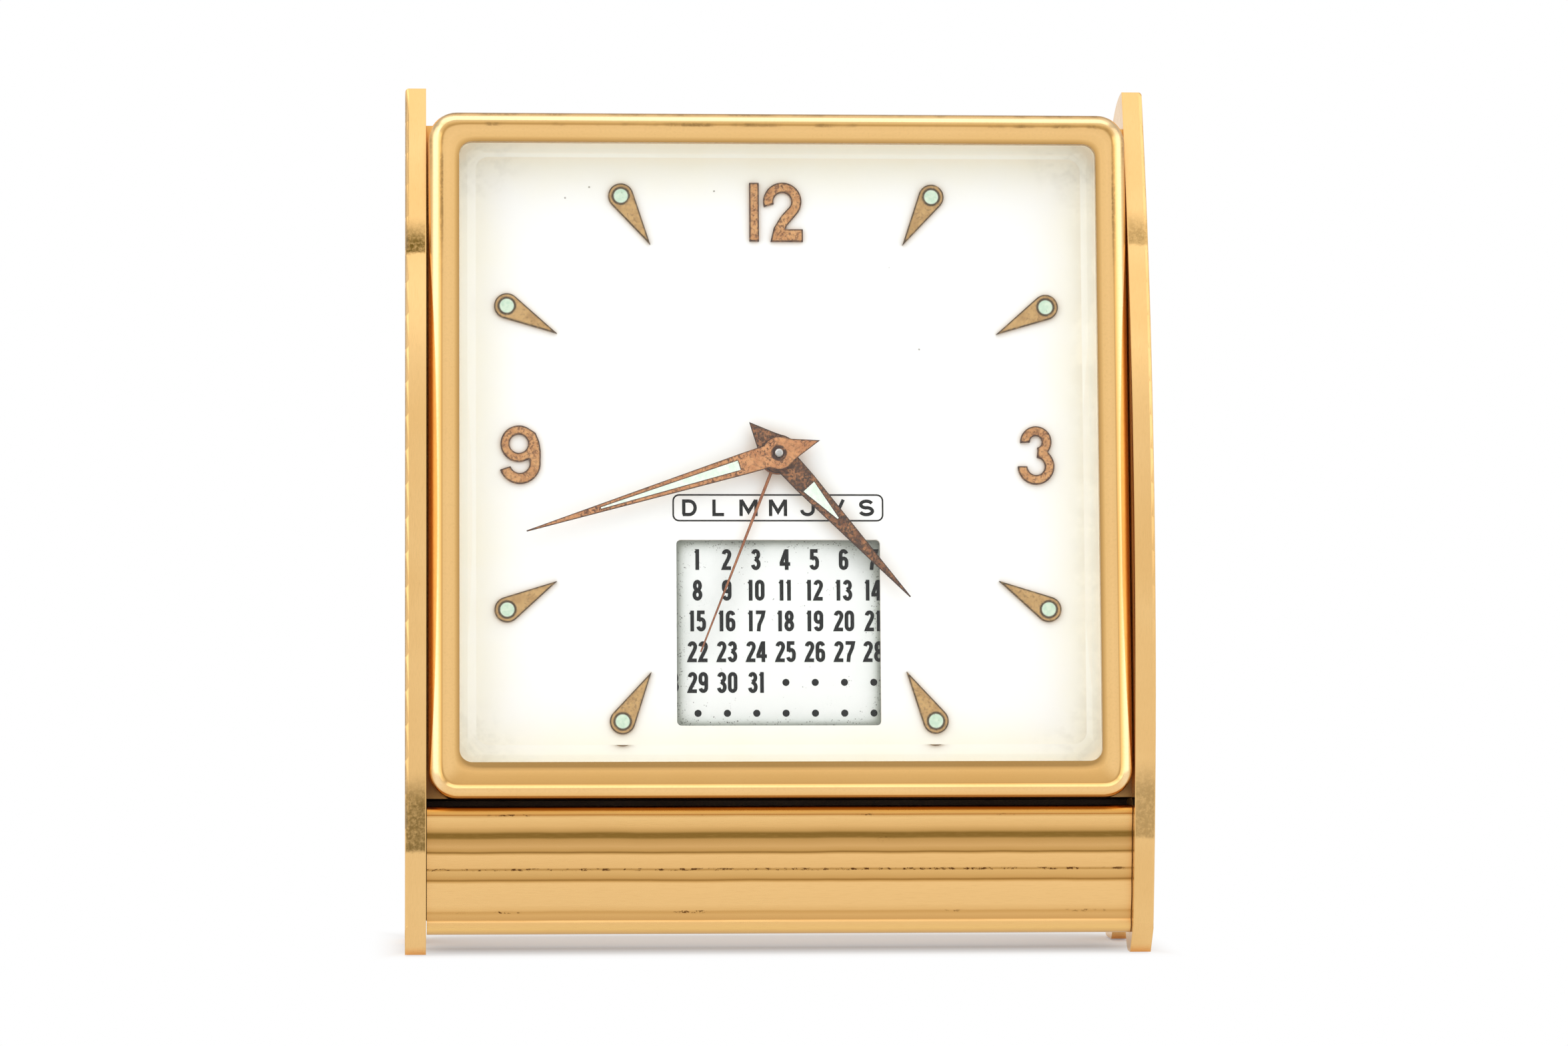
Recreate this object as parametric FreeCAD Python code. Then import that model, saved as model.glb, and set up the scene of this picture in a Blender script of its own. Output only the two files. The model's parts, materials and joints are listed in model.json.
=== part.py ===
import FreeCAD, Part
import math
import os
from FreeCAD import Vector

# Desk alarm clock with a sliding month calendar: two brass side cheeks hold a leaning case.
# All lengths are millimetres. The clock is drawn upright, with x to the right, y to the back and
# z up along the dial, and is then tipped back to the lean at which it stands on its feet.

# Cheeks
inner_width = 94.4
cheek_thickness = 2.8
cheek_rise_over_head = 4.1
cheek_front_radius = 222.0
cheek_apex_height = 58.5
cheek_top_radius = 19.0
cheek_tip_flat = 0.8
foot_crease_height = 3.6
front_foot_start = 10.8
front_foot_flat = 2.2
front_foot_heel = 2.0
rear_foot_round = 2.8
rear_foot_flat = 5.0
arch_rise = 2.9
cheek_edge_round = 0.5
lean_angle = 7.0

# Head: bezel, glass and dial
dial_center_height = 66.7
bezel_side_gap = 0.3
bezel_height = 91.4
bezel_chin = 0.65
bezel_front = 1.4
bezel_rear = 6.5
bezel_corner = 3.8
bezel_roll = 1.8
bead_inset = 1.15
band_inset = 1.75
band_step = 0.4
band_drop = 0.55
window_inset = 4.1
window_corner = 1.7
skirt_thickness = 2.5
glass_front = 3.0
glass_thickness = 1.6
glass_crown = 1.6
glass_bevel_width = 2.1
glass_corner = 1.2
dial_front = 8.4
dial_thickness = 0.8
rehaut_hidden = 0.3
dial_hole_clearance = 0.15

# Dial furniture, distances from the hand axis
marker_reach_x = 42.0
marker_reach_z = 41.0
marker_center_drop = 0.35
marker_length = 7.7
marker_head = 3.4
marker_thickness = 0.5
marker_lume = 2.2
numeral_height_12 = 29.0
numeral_reach_9 = 34.5
numeral_reach_3 = 34.9
numeral_half_height = 3.95
numeral_thickness = 0.5
calendar_window_width = 27.4
calendar_window_height = 25.0
calendar_window_drop = 11.4
calendar_window_corner = 0.6

# Hands
minute_hand_length = 35.4
hour_hand_length = 26.1
alarm_hand_length = 28.6
hand_tail = 5.8
minute_hand_angle = 252.7
hour_hand_angle = 137.6
alarm_hand_angle = 201.6
minute_hand_front = 5.7
hour_hand_front = 6.6
alarm_hand_front = 7.4
hand_thickness = 0.25
minute_hand_hub = 2.25
hour_hand_hub = 2.6
alarm_hand_hub = 2.7
alarm_hand_width = 0.45
minute_hand_width = 2.9
hour_hand_width = 3.1
minute_slot_width = 1.3
hour_slot_width = 1.95
minute_slot_start = 5.6
minute_slot_end = 25.0
hour_slot_start = 6.0
hour_slot_end = 11.8

# Tubes on the hand axis, each turning on the next one in
center_arbor_radius = 0.6
tube_clearance = 0.05
cannon_wall = 0.35
hour_tube_wall = 0.42
alarm_tube_wall = 0.37
pin_proud = 0.35

# Motion work
motion_module = 0.25
cannon_teeth = 12
minute_wheel_teeth = 36
minute_pinion_teeth = 10
hour_wheel_teeth = 40
alarm_wheel_teeth = 60
alarm_pinion_teeth = 20
hand_pinion_teeth = 12
alarm_wheel_front = 9.35
alarm_wheel_thickness = 0.4
hour_wheel_front = 10.1
hour_wheel_thickness = 0.5
minute_wheel_front = 11.2
minute_wheel_thickness = 0.4
minute_stud_radius = 0.5
minute_wheel_angle = 126.87
alarm_pinion_angle = 44.0
tooth_addendum = 0.8
tooth_dedendum = 1.15
tooth_slack = 0.24

# Calendar
card_pitch_x = 3.94
card_columns = 13
card_columns_shown = 7
card_rest_shift = 0.9
card_margin = 0.95
card_front = 9.5
card_thickness = 0.5
card_overlap = 1.0
slide_thickness = 0.6
rail_clearance = 0.15
rail_height = 1.1
rail_lip = 0.8
rail_thickness = 0.5
rail_end = 1.5
rack_module = 0.4
calendar_pinion_teeth = 12
calendar_shaft_radius = 1.0

# Movement plates
front_plate_front = 12.0
front_plate_thickness = 1.2
front_plate_side_gap = 4.0
front_plate_below = 43.7
front_plate_above = 31.3
back_plate_front = 21.5
back_plate_thickness = 1.0
back_plate_width = 54.0
back_plate_below = 24.7
back_plate_above = 25.3
pillar_inset = 2.5
pillar_radius = 1.5
post_radius = 2.0
post_inset_x = 2.6
post_inset_z = 8.5
plate_screw_radius = 1.7
plate_screw_height = 0.8
dial_foot_radius = 0.8
dial_foot_inset = 3.6

# Case
case_wall = 1.2
case_rear = 25.6
case_top_drop = 1.2
case_top_radius = 14.0
case_step_rise = 1.4
case_sill_depth = 11.9
case_bottom = 4.6
case_bottom_rise = 1.7
cover_width = 78.0
cover_below = 35.7
cover_above = 29.3
cover_thickness = 1.0
cover_corner = 4.0
cover_lap = 3.0
cover_screw_radius = 1.6
cover_screw_height = 0.7
cover_screw_inset = 1.5
screw_slot_width = 0.5
screw_slot_depth = 0.35
cheek_screw_radius = 2.2
cheek_screw_depth = 1.2

# Ribbed apron under the head
apron_set_back = 1.8
apron_gap = 0.85
apron_bottom = 2.75
apron_lip_radius = 0.9
rib_groove = 0.3
# joints of the ribs, as shares of the apron's height, with the bulge of the rib above each one
rib_joints = ((0.925, 0.05), (0.835, 0.14), (0.735, -0.12), (0.63, 0.16), (0.498, 0.2), (0.415, 0.13),
              (0.165, 0.34), (0.1, 0.08))
apron_side_gap = 0.1

# Keys and knobs on the back
arbor_radius = 0.75
arbor_clearance = 0.08
knob_radius = 4.4
knob_length = 4.5
knob_flutes = 20
knob_flute_depth = 0.3
knob_stand_off = 0.9
calendar_knob_radius = 6.0
key_arbor_radius = 1.3
key_hub_radius = 2.4
key_hub_length = 3.4
key_wing_length = 6.6
key_wing_width = 5.4
key_wing_thickness = 1.2
alarm_key_offset_x = 14.0
alarm_key_offset_z = 5.5
stop_button_height = 22.0
stop_button_radius = 3.0
stop_button_thickness = 1.6
stop_stem_radius = 1.4
stop_travel = 2.0

# Going train between the plates: barrel, centre, third, fourth and escape wheels
train_arbor_radius = 0.28
train_clearance = 0.05
pivot_depth = 0.9
train_pinion_thickness = 0.8
train_wheel_thickness = 0.4
barrel_module = 0.3
barrel_teeth = 64
barrel_pinion_teeth = 8
barrel_angle = 210.6
barrel_level = 14.2
barrel_rim_thickness = 0.6
drum_radius = 8.6
drum_depth = 4.0
center_module = 0.22
center_wheel_teeth = 64
third_pinion_teeth = 8
center_wheel_level = 19.2
third_angle = 90.0
third_module = 0.18
third_wheel_teeth = 60
fourth_pinion_teeth = 8
third_wheel_level = 17.4
fourth_angle = 90.0
fourth_module = 0.16
fourth_wheel_teeth = 60
escape_pinion_teeth = 6
fourth_wheel_level = 15.2
escape_angle = 20.0
escape_teeth = 15
escape_tip_radius = 3.4
escape_tooth_depth = 0.8
escape_level = 18.6

# Pallet lever, balance and hairspring
pallet_distance = 4.7
pallet_line = 9.2
pallet_pin_reach = 3.86
pallet_pin_spread = 50.0
pallet_pin_radius = 0.18
lever_width = 0.8
lever_level = 19.15
balance_distance = 8.3
balance_angle = -18.2
balance_radius = 6.0
balance_rim = 0.8
balance_level = 15.6
balance_thickness = 0.8
staff_radius = 0.3
collet_radius = 0.8
roller_radius = 1.65
roller_pin_reach = 1.45
roller_pin_radius = 0.15
fork_gap = 0.12
spring_level = 17.2
spring_height = 0.4
spring_start = 1.0
spring_end = 4.0
spring_turns = 5
spring_width = 0.12
spring_stud_radius = 0.35

# Alarm work: barrel, striking wheel, hammer and gong post
alarm_barrel_module = 0.28
alarm_barrel_teeth = 48
alarm_drum_radius = 6.1
strike_pinion_teeth = 8
strike_angle = -45.0
strike_teeth = 12
strike_tip_radius = 3.2
strike_tooth_depth = 0.9
strike_level = 19.2
hammer_x = 13.5
hammer_drop = 19.5
hammer_nose_gap = 0.3
hammer_reach = 10.0
hammer_arm_width = 1.0
hammer_head_radius = 1.7
hammer_head_length = 2.8
gong_radius = 1.2
gong_rise = 4.75
gong_length = 5.0

nodes = {}
axes = {}


def box(x0, x1, y0, y1, z0, z1):
    return Part.makeBox(x1 - x0, y1 - y0, z1 - z0, Vector(x0, y0, z0))


def rod(x, z, radius, y0, y1):
    return Part.makeCylinder(radius, y1 - y0, Vector(x, y0, z), Vector(0, 1, 0))


def ring(x, z, inner, outer, y0, y1):
    return rod(x, z, outer, y0, y1).cut(rod(x, z, inner, y0 - 1, y1 + 1))


def closed_face(points, y):
    loop = [Vector(px, y, pz) for px, pz in points]
    return Part.Face(Part.makePolygon(loop + [loop[0]]))


def slab(points, y0, y1):
    return closed_face(points, y0).extrude(Vector(0, y1 - y0, 0))


def rounded_loop(half_x, z0, z1, corner, y):
    """Rectangle with rounded corners, drawn at depth y."""
    edges = []
    centers = [(half_x - corner, z1 - corner, 0), (corner - half_x, z1 - corner, 90),
               (corner - half_x, z0 + corner, 180), (half_x - corner, z0 + corner, 270)]
    arcs = []
    for cx, cz, start in centers:
        spots = []
        for turn in (0, 45, 90):
            a = math.radians(start + turn)
            spots.append(Vector(cx + corner * math.cos(a), y, cz + corner * math.sin(a)))
        arcs.append(spots)
    for k in range(4):
        edges.append(Part.Arc(*arcs[k]).toShape())
        edges.append(Part.LineSegment(arcs[k][2], arcs[(k + 1) % 4][0]).toShape())
    return Part.Wire(edges)


def rounded_slab(half_x, z0, z1, corner, y0, y1):
    return Part.Face(rounded_loop(half_x, z0, z1, corner, y0)).extrude(Vector(0, y1 - y0, 0))


def side_slab(edges, x0, x1):
    """Face drawn in the plane x = x0 and pushed out to x = x1."""
    return Part.Face(Part.Wire(edges)).extrude(Vector(x1 - x0, 0, 0))


def fuse_all(shapes):
    whole = shapes[0]
    for extra in shapes[1:]:
        whole = whole.fuse(extra)
    return whole.removeSplitter()


def cut_all(body, tools):
    for tool in tools:
        body = body.cut(tool)
    return body


def polar(distance, degrees):
    """Offset at a clock angle: 0 is up and positive is clockwise as seen from the front."""
    a = math.radians(degrees)
    return distance * math.sin(a), distance * math.cos(a)


def gear_slab(x, z, teeth, module, y0, y1, phase, tip_share=0.42, root_share=1.35):
    """Straight-flanked teeth. phase is the angle of one tooth's middle, from +x towards +z."""
    pitch_radius = module * teeth / 2
    tip = pitch_radius + tooth_addendum * module
    root = pitch_radius - tooth_dedendum * module
    half = math.pi / (2 * teeth) * (1 - tooth_slack)
    points = []
    for k in range(teeth):
        mid = phase + 2 * math.pi * k / teeth
        for radius, offset in ((root, -half * root_share), (tip, -half * tip_share),
                               (tip, half * tip_share), (root, half * root_share)):
            points.append((x + radius * math.cos(mid + offset), z + radius * math.sin(mid + offset)))
    return slab(points, y0, y1)


def mesh_phase(center_a, radius_a, phase_a, center_b, radius_b, module):
    """Phase that sets a gap of wheel b on the tooth of wheel a along the line of centres."""
    line = math.atan2(center_b[1] - center_a[1], center_b[0] - center_a[0])
    pitch = math.pi * module
    return line + math.pi - (radius_a * (phase_a - line) + pitch / 2) / radius_b


def front_depth(height):
    """Depth of the cheeks' bowed front edge at a height."""
    rise = height - cheek_apex_height
    return cheek_front_radius - math.sqrt(cheek_front_radius ** 2 - rise ** 2)


def ground(depth):
    """Height of the table surface under a depth, in the upright drawing frame."""
    return (depth - front_foot_start) * math.tan(math.radians(lean_angle))


def yz_line(a, b, x):
    return Part.LineSegment(Vector(x, a[0], a[1]), Vector(x, b[0], b[1])).toShape()


def yz_arc(a, b, c, x):
    return Part.Arc(Vector(x, a[0], a[1]), Vector(x, b[0], b[1]), Vector(x, c[0], c[1])).toShape()


half_inner = inner_width / 2
bezel_half = half_inner - bezel_side_gap
head_bottom = dial_center_height - bezel_height / 2
bezel_bottom = head_bottom - bezel_chin
bezel_top = dial_center_height + bezel_height / 2
cheek_height = bezel_top + cheek_rise_over_head
case_top = bezel_top - case_top_drop
case_step_height = bezel_bottom + case_step_rise
apron_top = bezel_bottom - apron_gap
front_plate_bottom = dial_center_height - front_plate_below
front_plate_top = dial_center_height + front_plate_above
back_plate_bottom = dial_center_height - back_plate_below
back_plate_top = dial_center_height + back_plate_above
cover_bottom = dial_center_height - cover_below
cover_top = dial_center_height + cover_above
window_half = bezel_half - window_inset
front_plate_half = half_inner - case_wall - front_plate_side_gap
dial_rear = dial_front + dial_thickness
cover_rear = case_rear + cover_thickness
knob_front = cover_rear + knob_stand_off


# Cheeks
def cheek_outline(x):
    tip = (front_depth(cheek_height), cheek_height)
    crease = (front_depth(foot_crease_height), foot_crease_height)
    apex_spot = (front_depth(cheek_apex_height), cheek_apex_height)
    lean = math.radians(lean_angle)
    cap_z = cheek_height - cheek_top_radius
    cap_y = tip[0] + cheek_tip_flat
    cap_start = (cap_y, cheek_height)
    cap_mid_angle = math.radians(45 + lean_angle / 2)
    cap_mid = (cap_y + cheek_top_radius * math.cos(cap_mid_angle), cap_z + cheek_top_radius * math.sin(cap_mid_angle))
    cap_end = (cap_y + cheek_top_radius * math.cos(lean), cap_z + cheek_top_radius * math.sin(lean))
    heel = (front_foot_start + front_foot_flat, ground(front_foot_start + front_foot_flat))
    instep = (heel[0] + front_foot_heel, ground(heel[0] + front_foot_heel) + arch_rise)
    instep_mid = (heel[0] + 0.75 * front_foot_heel, heel[1] + 0.42 * arch_rise)
    slope = math.tan(lean)
    rear_y = (cap_end[0] + (cap_end[1] + front_foot_start * slope) * slope) / (1 + slope ** 2)
    rear_low = (rear_y - rear_foot_round, ground(rear_y - rear_foot_round))
    rear_up = (rear_y - rear_foot_round * slope, ground(rear_y) + rear_foot_round)
    rear_mid = (rear_y - 0.33 * rear_foot_round, ground(rear_y) + 0.27 * rear_foot_round)
    toe = (rear_low[0] - rear_foot_flat, ground(rear_low[0] - rear_foot_flat))
    toe_top = (toe[0] - front_foot_heel, ground(toe[0] - front_foot_heel) + arch_rise)
    toe_mid = (toe[0] - 0.75 * front_foot_heel, toe[1] + 0.42 * arch_rise)
    return [
        yz_arc(crease, apex_spot, tip, x), yz_line(tip, cap_start, x), yz_arc(cap_start, cap_mid, cap_end, x),
        yz_line(cap_end, rear_up, x), yz_arc(rear_up, rear_mid, rear_low, x), yz_line(rear_low, toe, x),
        yz_arc(toe, toe_mid, toe_top, x), yz_line(toe_top, instep, x), yz_arc(instep, instep_mid, heel, x),
        yz_line(heel, (front_foot_start, 0), x), yz_line((front_foot_start, 0), crease, x),
    ]


def cheek_screw_spots():
    return [(case_rear * 0.6, cover_bottom), (case_rear * 0.6, cover_top - cover_lap)]


def screw_cone(side, y, z, radius, depth, surface):
    """Countersunk head whose flat face lies on the surface x = side * surface."""
    return Part.makeCone(radius, radius - depth * 0.8, depth, Vector(side * surface, y, z), Vector(-side, 0, 0))


def make_cheeks():
    outer = half_inner + cheek_thickness
    screws = []
    for side, name in ((-1, "left_cheek"), (1, "right_cheek")):
        plate = side_slab(cheek_outline(side * half_inner), side * half_inner, side * outer)
        rim = []
        for edge in plate.Edges:
            box_x = edge.BoundBox
            if abs(box_x.XMin - side * outer) < 0.01 and abs(box_x.XMax - side * outer) < 0.01:
                low = edge.BoundBox.ZMin > foot_crease_height - 0.01
                if low:
                    rim.append(edge)
        plate = plate.makeFillet(cheek_edge_round, rim)
        for y, z in cheek_screw_spots():
            plate = plate.cut(screw_cone(side, y, z, cheek_screw_radius, cheek_screw_depth, outer))
            stem = Part.makeCylinder(1.0, cheek_thickness + case_wall, Vector(side * outer, y, z), Vector(-side, 0, 0))
            plate = plate.cut(stem)
            head = screw_cone(side, y, z, cheek_screw_radius, cheek_screw_depth, outer).fuse(stem)
            slot = box(side * outer - screw_slot_depth, side * outer + screw_slot_depth, y - 3, y + 3,
                       z - screw_slot_width / 2, z + screw_slot_width / 2)
            screws.append(head.cut(slot).removeSplitter())
        nodes[name] = plate
    nodes["cheek_screws"] = Part.makeCompound(screws)


# Ribbed apron
def apron_front(height):
    return front_depth(height) + apron_set_back


def make_apron():
    x0 = -half_inner + apron_side_gap
    rear = case_sill_depth
    rise = apron_top - apron_bottom
    lip_z = apron_top - apron_lip_radius
    lip_mid = apron_lip_radius * (1 - math.sqrt(0.5))
    start = (apron_front(lip_z), lip_z)
    edges = [yz_line((rear, apron_top), (start[0] + apron_lip_radius, apron_top), x0)]
    edges.append(yz_arc((start[0] + apron_lip_radius, apron_top), (start[0] + lip_mid, apron_top - lip_mid), start, x0))
    here = start
    for share, bulge in rib_joints:
        joint = apron_bottom + share * rise
        edge_in = (apron_front(joint) + rib_groove, joint)
        middle = ((here[0] + edge_in[0]) / 2 - bulge, (here[1] + joint) / 2)
        edges.append(yz_arc(here, middle, edge_in, x0))
        here = edge_in
    turn_z = apron_bottom + apron_lip_radius
    turn_y = apron_front(turn_z)
    under = (turn_y + 2 * apron_lip_radius, apron_bottom)
    edges.append(yz_arc(here, (turn_y, turn_z), under, x0))
    edges.append(yz_line(under, (rear, apron_bottom), x0))
    edges.append(yz_line((rear, apron_bottom), (rear, apron_top), x0))
    nodes["ribbed_apron"] = side_slab(edges, x0, -x0)


# Case
def case_outline(x, inset):
    """Side section of the case, drawn smaller all round by inset."""
    front = bezel_rear + inset
    sill = case_sill_depth + inset
    top = case_top - inset
    rear = case_rear - inset
    radius = case_top_radius - inset
    center = (case_rear - case_top_radius, case_top - case_top_radius)
    mid = (center[0] + radius * math.sqrt(0.5), center[1] + radius * math.sqrt(0.5))
    step = case_step_height - case_wall + inset
    low_front = (sill, case_bottom + inset)
    low_rear = (rear, case_bottom + case_bottom_rise + inset)
    return [
        yz_line((front, step), (front, top), x), yz_line((front, top), (center[0], top), x),
        yz_arc((center[0], top), mid, (rear, center[1]), x), yz_line((rear, center[1]), low_rear, x),
        yz_line(low_rear, low_front, x), yz_line(low_front, (sill, step), x), yz_line((sill, step), (front, step), x),
    ]


def make_case():
    shell = side_slab(case_outline(-half_inner, 0), -half_inner, half_inner)
    hollow_half = half_inner - case_wall
    shell = shell.cut(side_slab(case_outline(-hollow_half, case_wall), -hollow_half, hollow_half))
    mouth = box(-hollow_half, hollow_half, bezel_rear - 1, bezel_rear + case_wall + 0.1,
                case_step_height, case_top - case_wall)
    shell = shell.cut(mouth)
    hatch = rounded_slab(cover_width / 2 - cover_lap, cover_bottom + cover_lap, cover_top - cover_lap,
                         cover_corner - 1, case_rear - case_wall - 0.5, case_rear + 0.5)
    shell = shell.cut(hatch)
    shell = shell.cut(rod(0, calendar_axis[1], calendar_shaft_radius + arbor_clearance,
                          case_rear - case_wall - 1, case_rear + 1))
    for side in (-1, 1):
        for y, z in cheek_screw_spots():
            shell = shell.cut(Part.makeCylinder(1.0, 2 * case_wall, Vector(side * (half_inner + case_wall), y, z),
                                                Vector(-side, 0, 0)))
    nodes["case_body"] = shell.removeSplitter()


def cover_screw_spots():
    x = cover_width / 2 - cover_screw_inset
    return [(sx * x, z) for sx in (-1, 1) for z in (cover_bottom + cover_lap, cover_top - cover_lap)]


def slotted_head(x, z, radius, y0, height):
    """Cheese head with a screwdriver slot on its rear face."""
    head = rod(x, z, radius, y0, y0 + height)
    slot = box(x - radius - 1, x + radius + 1, y0 + height - screw_slot_depth, y0 + height + 1,
               z - screw_slot_width / 2, z + screw_slot_width / 2)
    return head.cut(slot)


def make_cover():
    cover = rounded_slab(cover_width / 2, cover_bottom, cover_top, cover_corner, case_rear, cover_rear)
    holes = []
    for x, z, radius in back_shafts():
        holes.append(rod(x, z, radius + arbor_clearance, case_rear - 1, cover_rear + 1))
    nodes["back_cover"] = cut_all(cover, holes)
    heads = [slotted_head(x, z, cover_screw_radius, cover_rear, cover_screw_height) for x, z in cover_screw_spots()]
    nodes["back_cover_screws"] = Part.makeCompound(heads)


# Bezel and glass
def make_bezel():
    block = rounded_slab(bezel_half, bezel_bottom, bezel_top, bezel_corner, bezel_front, bezel_rear)
    rim = [e for e in block.Edges if abs(e.BoundBox.YMin - bezel_front) < 0.01 and abs(e.BoundBox.YMax - bezel_front) < 0.01]
    block = block.makeFillet(bezel_roll, rim)
    loops = []
    for inset, sink in ((bead_inset, 0), (band_inset, band_step)):
        loops.append(rounded_loop(bezel_half - inset, bezel_bottom + inset, bezel_top - inset,
                                  bezel_corner - inset, bezel_front + sink))
    window_low = head_bottom + window_inset
    loops.append(rounded_loop(window_half, window_low, bezel_top - window_inset, window_corner, bezel_front + band_drop))
    block = block.cut(Part.makeLoft(loops, True, True))
    window = rounded_slab(window_half, window_low, bezel_top - window_inset, window_corner,
                          bezel_front - 1, glass_front + 1)
    rebate = rounded_slab(bezel_half - skirt_thickness, head_bottom + skirt_thickness,
                          bezel_top - skirt_thickness, glass_corner, glass_front, bezel_rear + 1)
    nodes["bezel"] = block.cut(window).cut(rebate).removeSplitter()


def make_glass():
    half = bezel_half - skirt_thickness
    low = head_bottom + skirt_thickness
    high = bezel_top - skirt_thickness
    plate = rounded_slab(half, low, high, glass_corner, glass_front, glass_front + glass_thickness)
    start = window_inset - skirt_thickness + 0.1
    stop = start + glass_bevel_width
    crown = Part.makeLoft([
        rounded_loop(half - start, low + start, high - start, window_corner, glass_front),
        rounded_loop(half - stop, low + stop, high - stop, window_corner, glass_front - glass_crown),
    ], True, True)
    nodes["crystal"] = plate.fuse(crown).removeSplitter()


def make_rehaut():
    half = bezel_half - skirt_thickness
    low = head_bottom + skirt_thickness
    high = bezel_top - skirt_thickness
    rear_of_glass = glass_front + glass_thickness
    frame = rounded_slab(half, low, high, glass_corner, rear_of_glass, dial_front)
    inner = window_inset - rehaut_hidden
    opening = rounded_slab(bezel_half - inner, head_bottom + inner, bezel_top - inner, window_corner,
                           rear_of_glass - 1, dial_front + 1)
    nodes["rehaut_frame"] = frame.cut(opening)


def window_box():
    top = dial_center_height - calendar_window_drop
    return calendar_window_width / 2, top - calendar_window_height, top


def make_dial():
    half = bezel_half - skirt_thickness
    low = head_bottom + skirt_thickness
    high = bezel_top - skirt_thickness
    plate = rounded_slab(half, low, high, glass_corner, dial_front, dial_rear)
    alarm_tube = tube_radii()["alarm"][1]
    plate = plate.cut(rod(0, dial_center_height, alarm_tube + dial_hole_clearance, dial_front - 1, dial_rear + 1))
    wx, w0, w1 = window_box()
    plate = plate.cut(rounded_slab(wx, w0, w1, calendar_window_corner, dial_front - 1, dial_rear + 1))
    nodes["dial_plate"] = plate
    feet = []
    for sx in (-1, 1):
        for z in (front_plate_bottom + dial_foot_inset, front_plate_top - dial_foot_inset):
            feet.append(rod(sx * (front_plate_half - dial_foot_inset * 0.5), z, dial_foot_radius,
                            dial_rear, front_plate_front))
    nodes["dial_feet"] = Part.makeCompound(feet)


# Hour markers and numerals
def marker_shape(angle):
    """Teardrop: round head outside, straight flanks to a point towards the hand axis."""
    head = marker_head / 2
    touch = math.acos(head / marker_length)
    a = math.radians(angle)
    cx, cz = marker_reach_x * math.sin(a), marker_reach_z * math.cos(a) - marker_center_drop
    inward = math.atan2(-cz, -cx)
    sides = [(cx + head * math.cos(inward + turn), cz + head * math.sin(inward + turn)) for turn in (touch, math.pi, -touch)]
    tip = (cx + marker_length * math.cos(inward), cz + marker_length * math.sin(inward))
    y = dial_front - marker_thickness
    spots = [Vector(px, y, pz + dial_center_height) for px, pz in sides + [tip]]
    wire = Part.Wire([Part.Arc(spots[0], spots[1], spots[2]).toShape(),
                      Part.LineSegment(spots[2], spots[3]).toShape(),
                      Part.LineSegment(spots[3], spots[0]).toShape()])
    return Part.Face(wire).extrude(Vector(0, marker_thickness, 0)), cx, cz + dial_center_height


def make_markers():
    drops = []
    dots = []
    for hour in range(1, 12):
        if hour % 3 == 0:
            continue
        drop, x, z = marker_shape(hour * 30)
        dot = rod(x, z, marker_lume / 2, dial_front - marker_thickness, dial_front)
        drops.append(drop.cut(dot))
        dots.append(dot)
    nodes["hour_markers"] = Part.makeCompound(drops)
    nodes["lume_dots"] = Part.makeCompound(dots)


def sector(cx, cz, middle, width, start, stop, origin):
    """Bent stroke of even width about (cx, cz), from start to stop in degrees from +x towards +z."""
    y = dial_front - numeral_thickness
    ox, oz = origin
    loops = []
    for radius in (middle + width / 2, middle - width / 2):
        row = []
        for share in (0, 0.5, 1):
            a = math.radians(start + (stop - start) * share)
            row.append(Vector(ox + cx + radius * math.cos(a), y, oz + cz + radius * math.sin(a)))
        loops.append(row)
    outer, inner = loops
    wire = Part.Wire([Part.Arc(*outer).toShape(), Part.LineSegment(outer[2], inner[2]).toShape(),
                      Part.Arc(inner[2], inner[1], inner[0]).toShape(),
                      Part.LineSegment(inner[0], outer[0]).toShape()])
    return Part.Face(wire).extrude(Vector(0, numeral_thickness, 0))


def stroke_slab(points, origin):
    ox, oz = origin
    return slab([(ox + px, oz + pz) for px, pz in points], dial_front - numeral_thickness, dial_front)


def make_numerals():
    twelve = (0, dial_center_height + numeral_height_12)
    one = stroke_slab([(-3.64, 0.05), (-2.36, 0.05), (-2.36, 8.0), (-3.64, 8.0)], twelve)
    two_bowl = sector(0.83, 5.47, 1.9, 1.37, 196, -38, twelve)
    two_leg = stroke_slab([(-0.8, 0), (3.58, 0), (3.58, 1.69), (1.2, 1.69), (1.4, 2.15), (2.87, 3.88),
                           (1.78, 4.73), (0.66, 3.52), (-0.34, 1.88)], twelve)
    nodes["numeral_12"] = Part.makeCompound([one, fuse_all([two_bowl, two_leg])])
    base = dial_center_height - numeral_half_height
    three = (numeral_reach_3, base)
    upper = sector(-0.02, 5.78, 1.46, 1.3, 184, -78, three)
    lower = sector(-0.02, 2.46, 1.83, 1.28, -180, 84, three)
    nodes["numeral_3"] = fuse_all([upper, lower])
    nine = (-numeral_reach_9, base)
    eye_out = rod(nine[0] - 0.29, nine[1] + 5.44, 2.45, dial_front - numeral_thickness, dial_front)
    eye_in = rod(nine[0] - 0.29, nine[1] + 5.44, 1.25, dial_front - numeral_thickness - 1, dial_front + 1)
    tail = sector(-0.15, 2.8, 2.05, 1.46, -162, 6, nine)
    back = stroke_slab([(1.2, 7.4), (1.95, 6.9), (2.45, 5.7), (2.65, 4.4), (2.62, 2.9), (1.17, 2.9),
                        (1.17, 3.5), (0.9, 4.6)], nine)
    nodes["numeral_9"] = fuse_all([eye_out, tail, back]).cut(eye_in).removeSplitter()


# Hands
def tube_radii():
    """Inner and outer radii of the three tubes on the hand axis."""
    cannon = (center_arbor_radius + tube_clearance, center_arbor_radius + tube_clearance + cannon_wall)
    hour = (cannon[1] + tube_clearance, cannon[1] + tube_clearance + hour_tube_wall)
    alarm = (hour[1] + tube_clearance, hour[1] + tube_clearance + alarm_tube_wall)
    return {"cannon": cannon, "hour": hour, "alarm": alarm}


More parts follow.
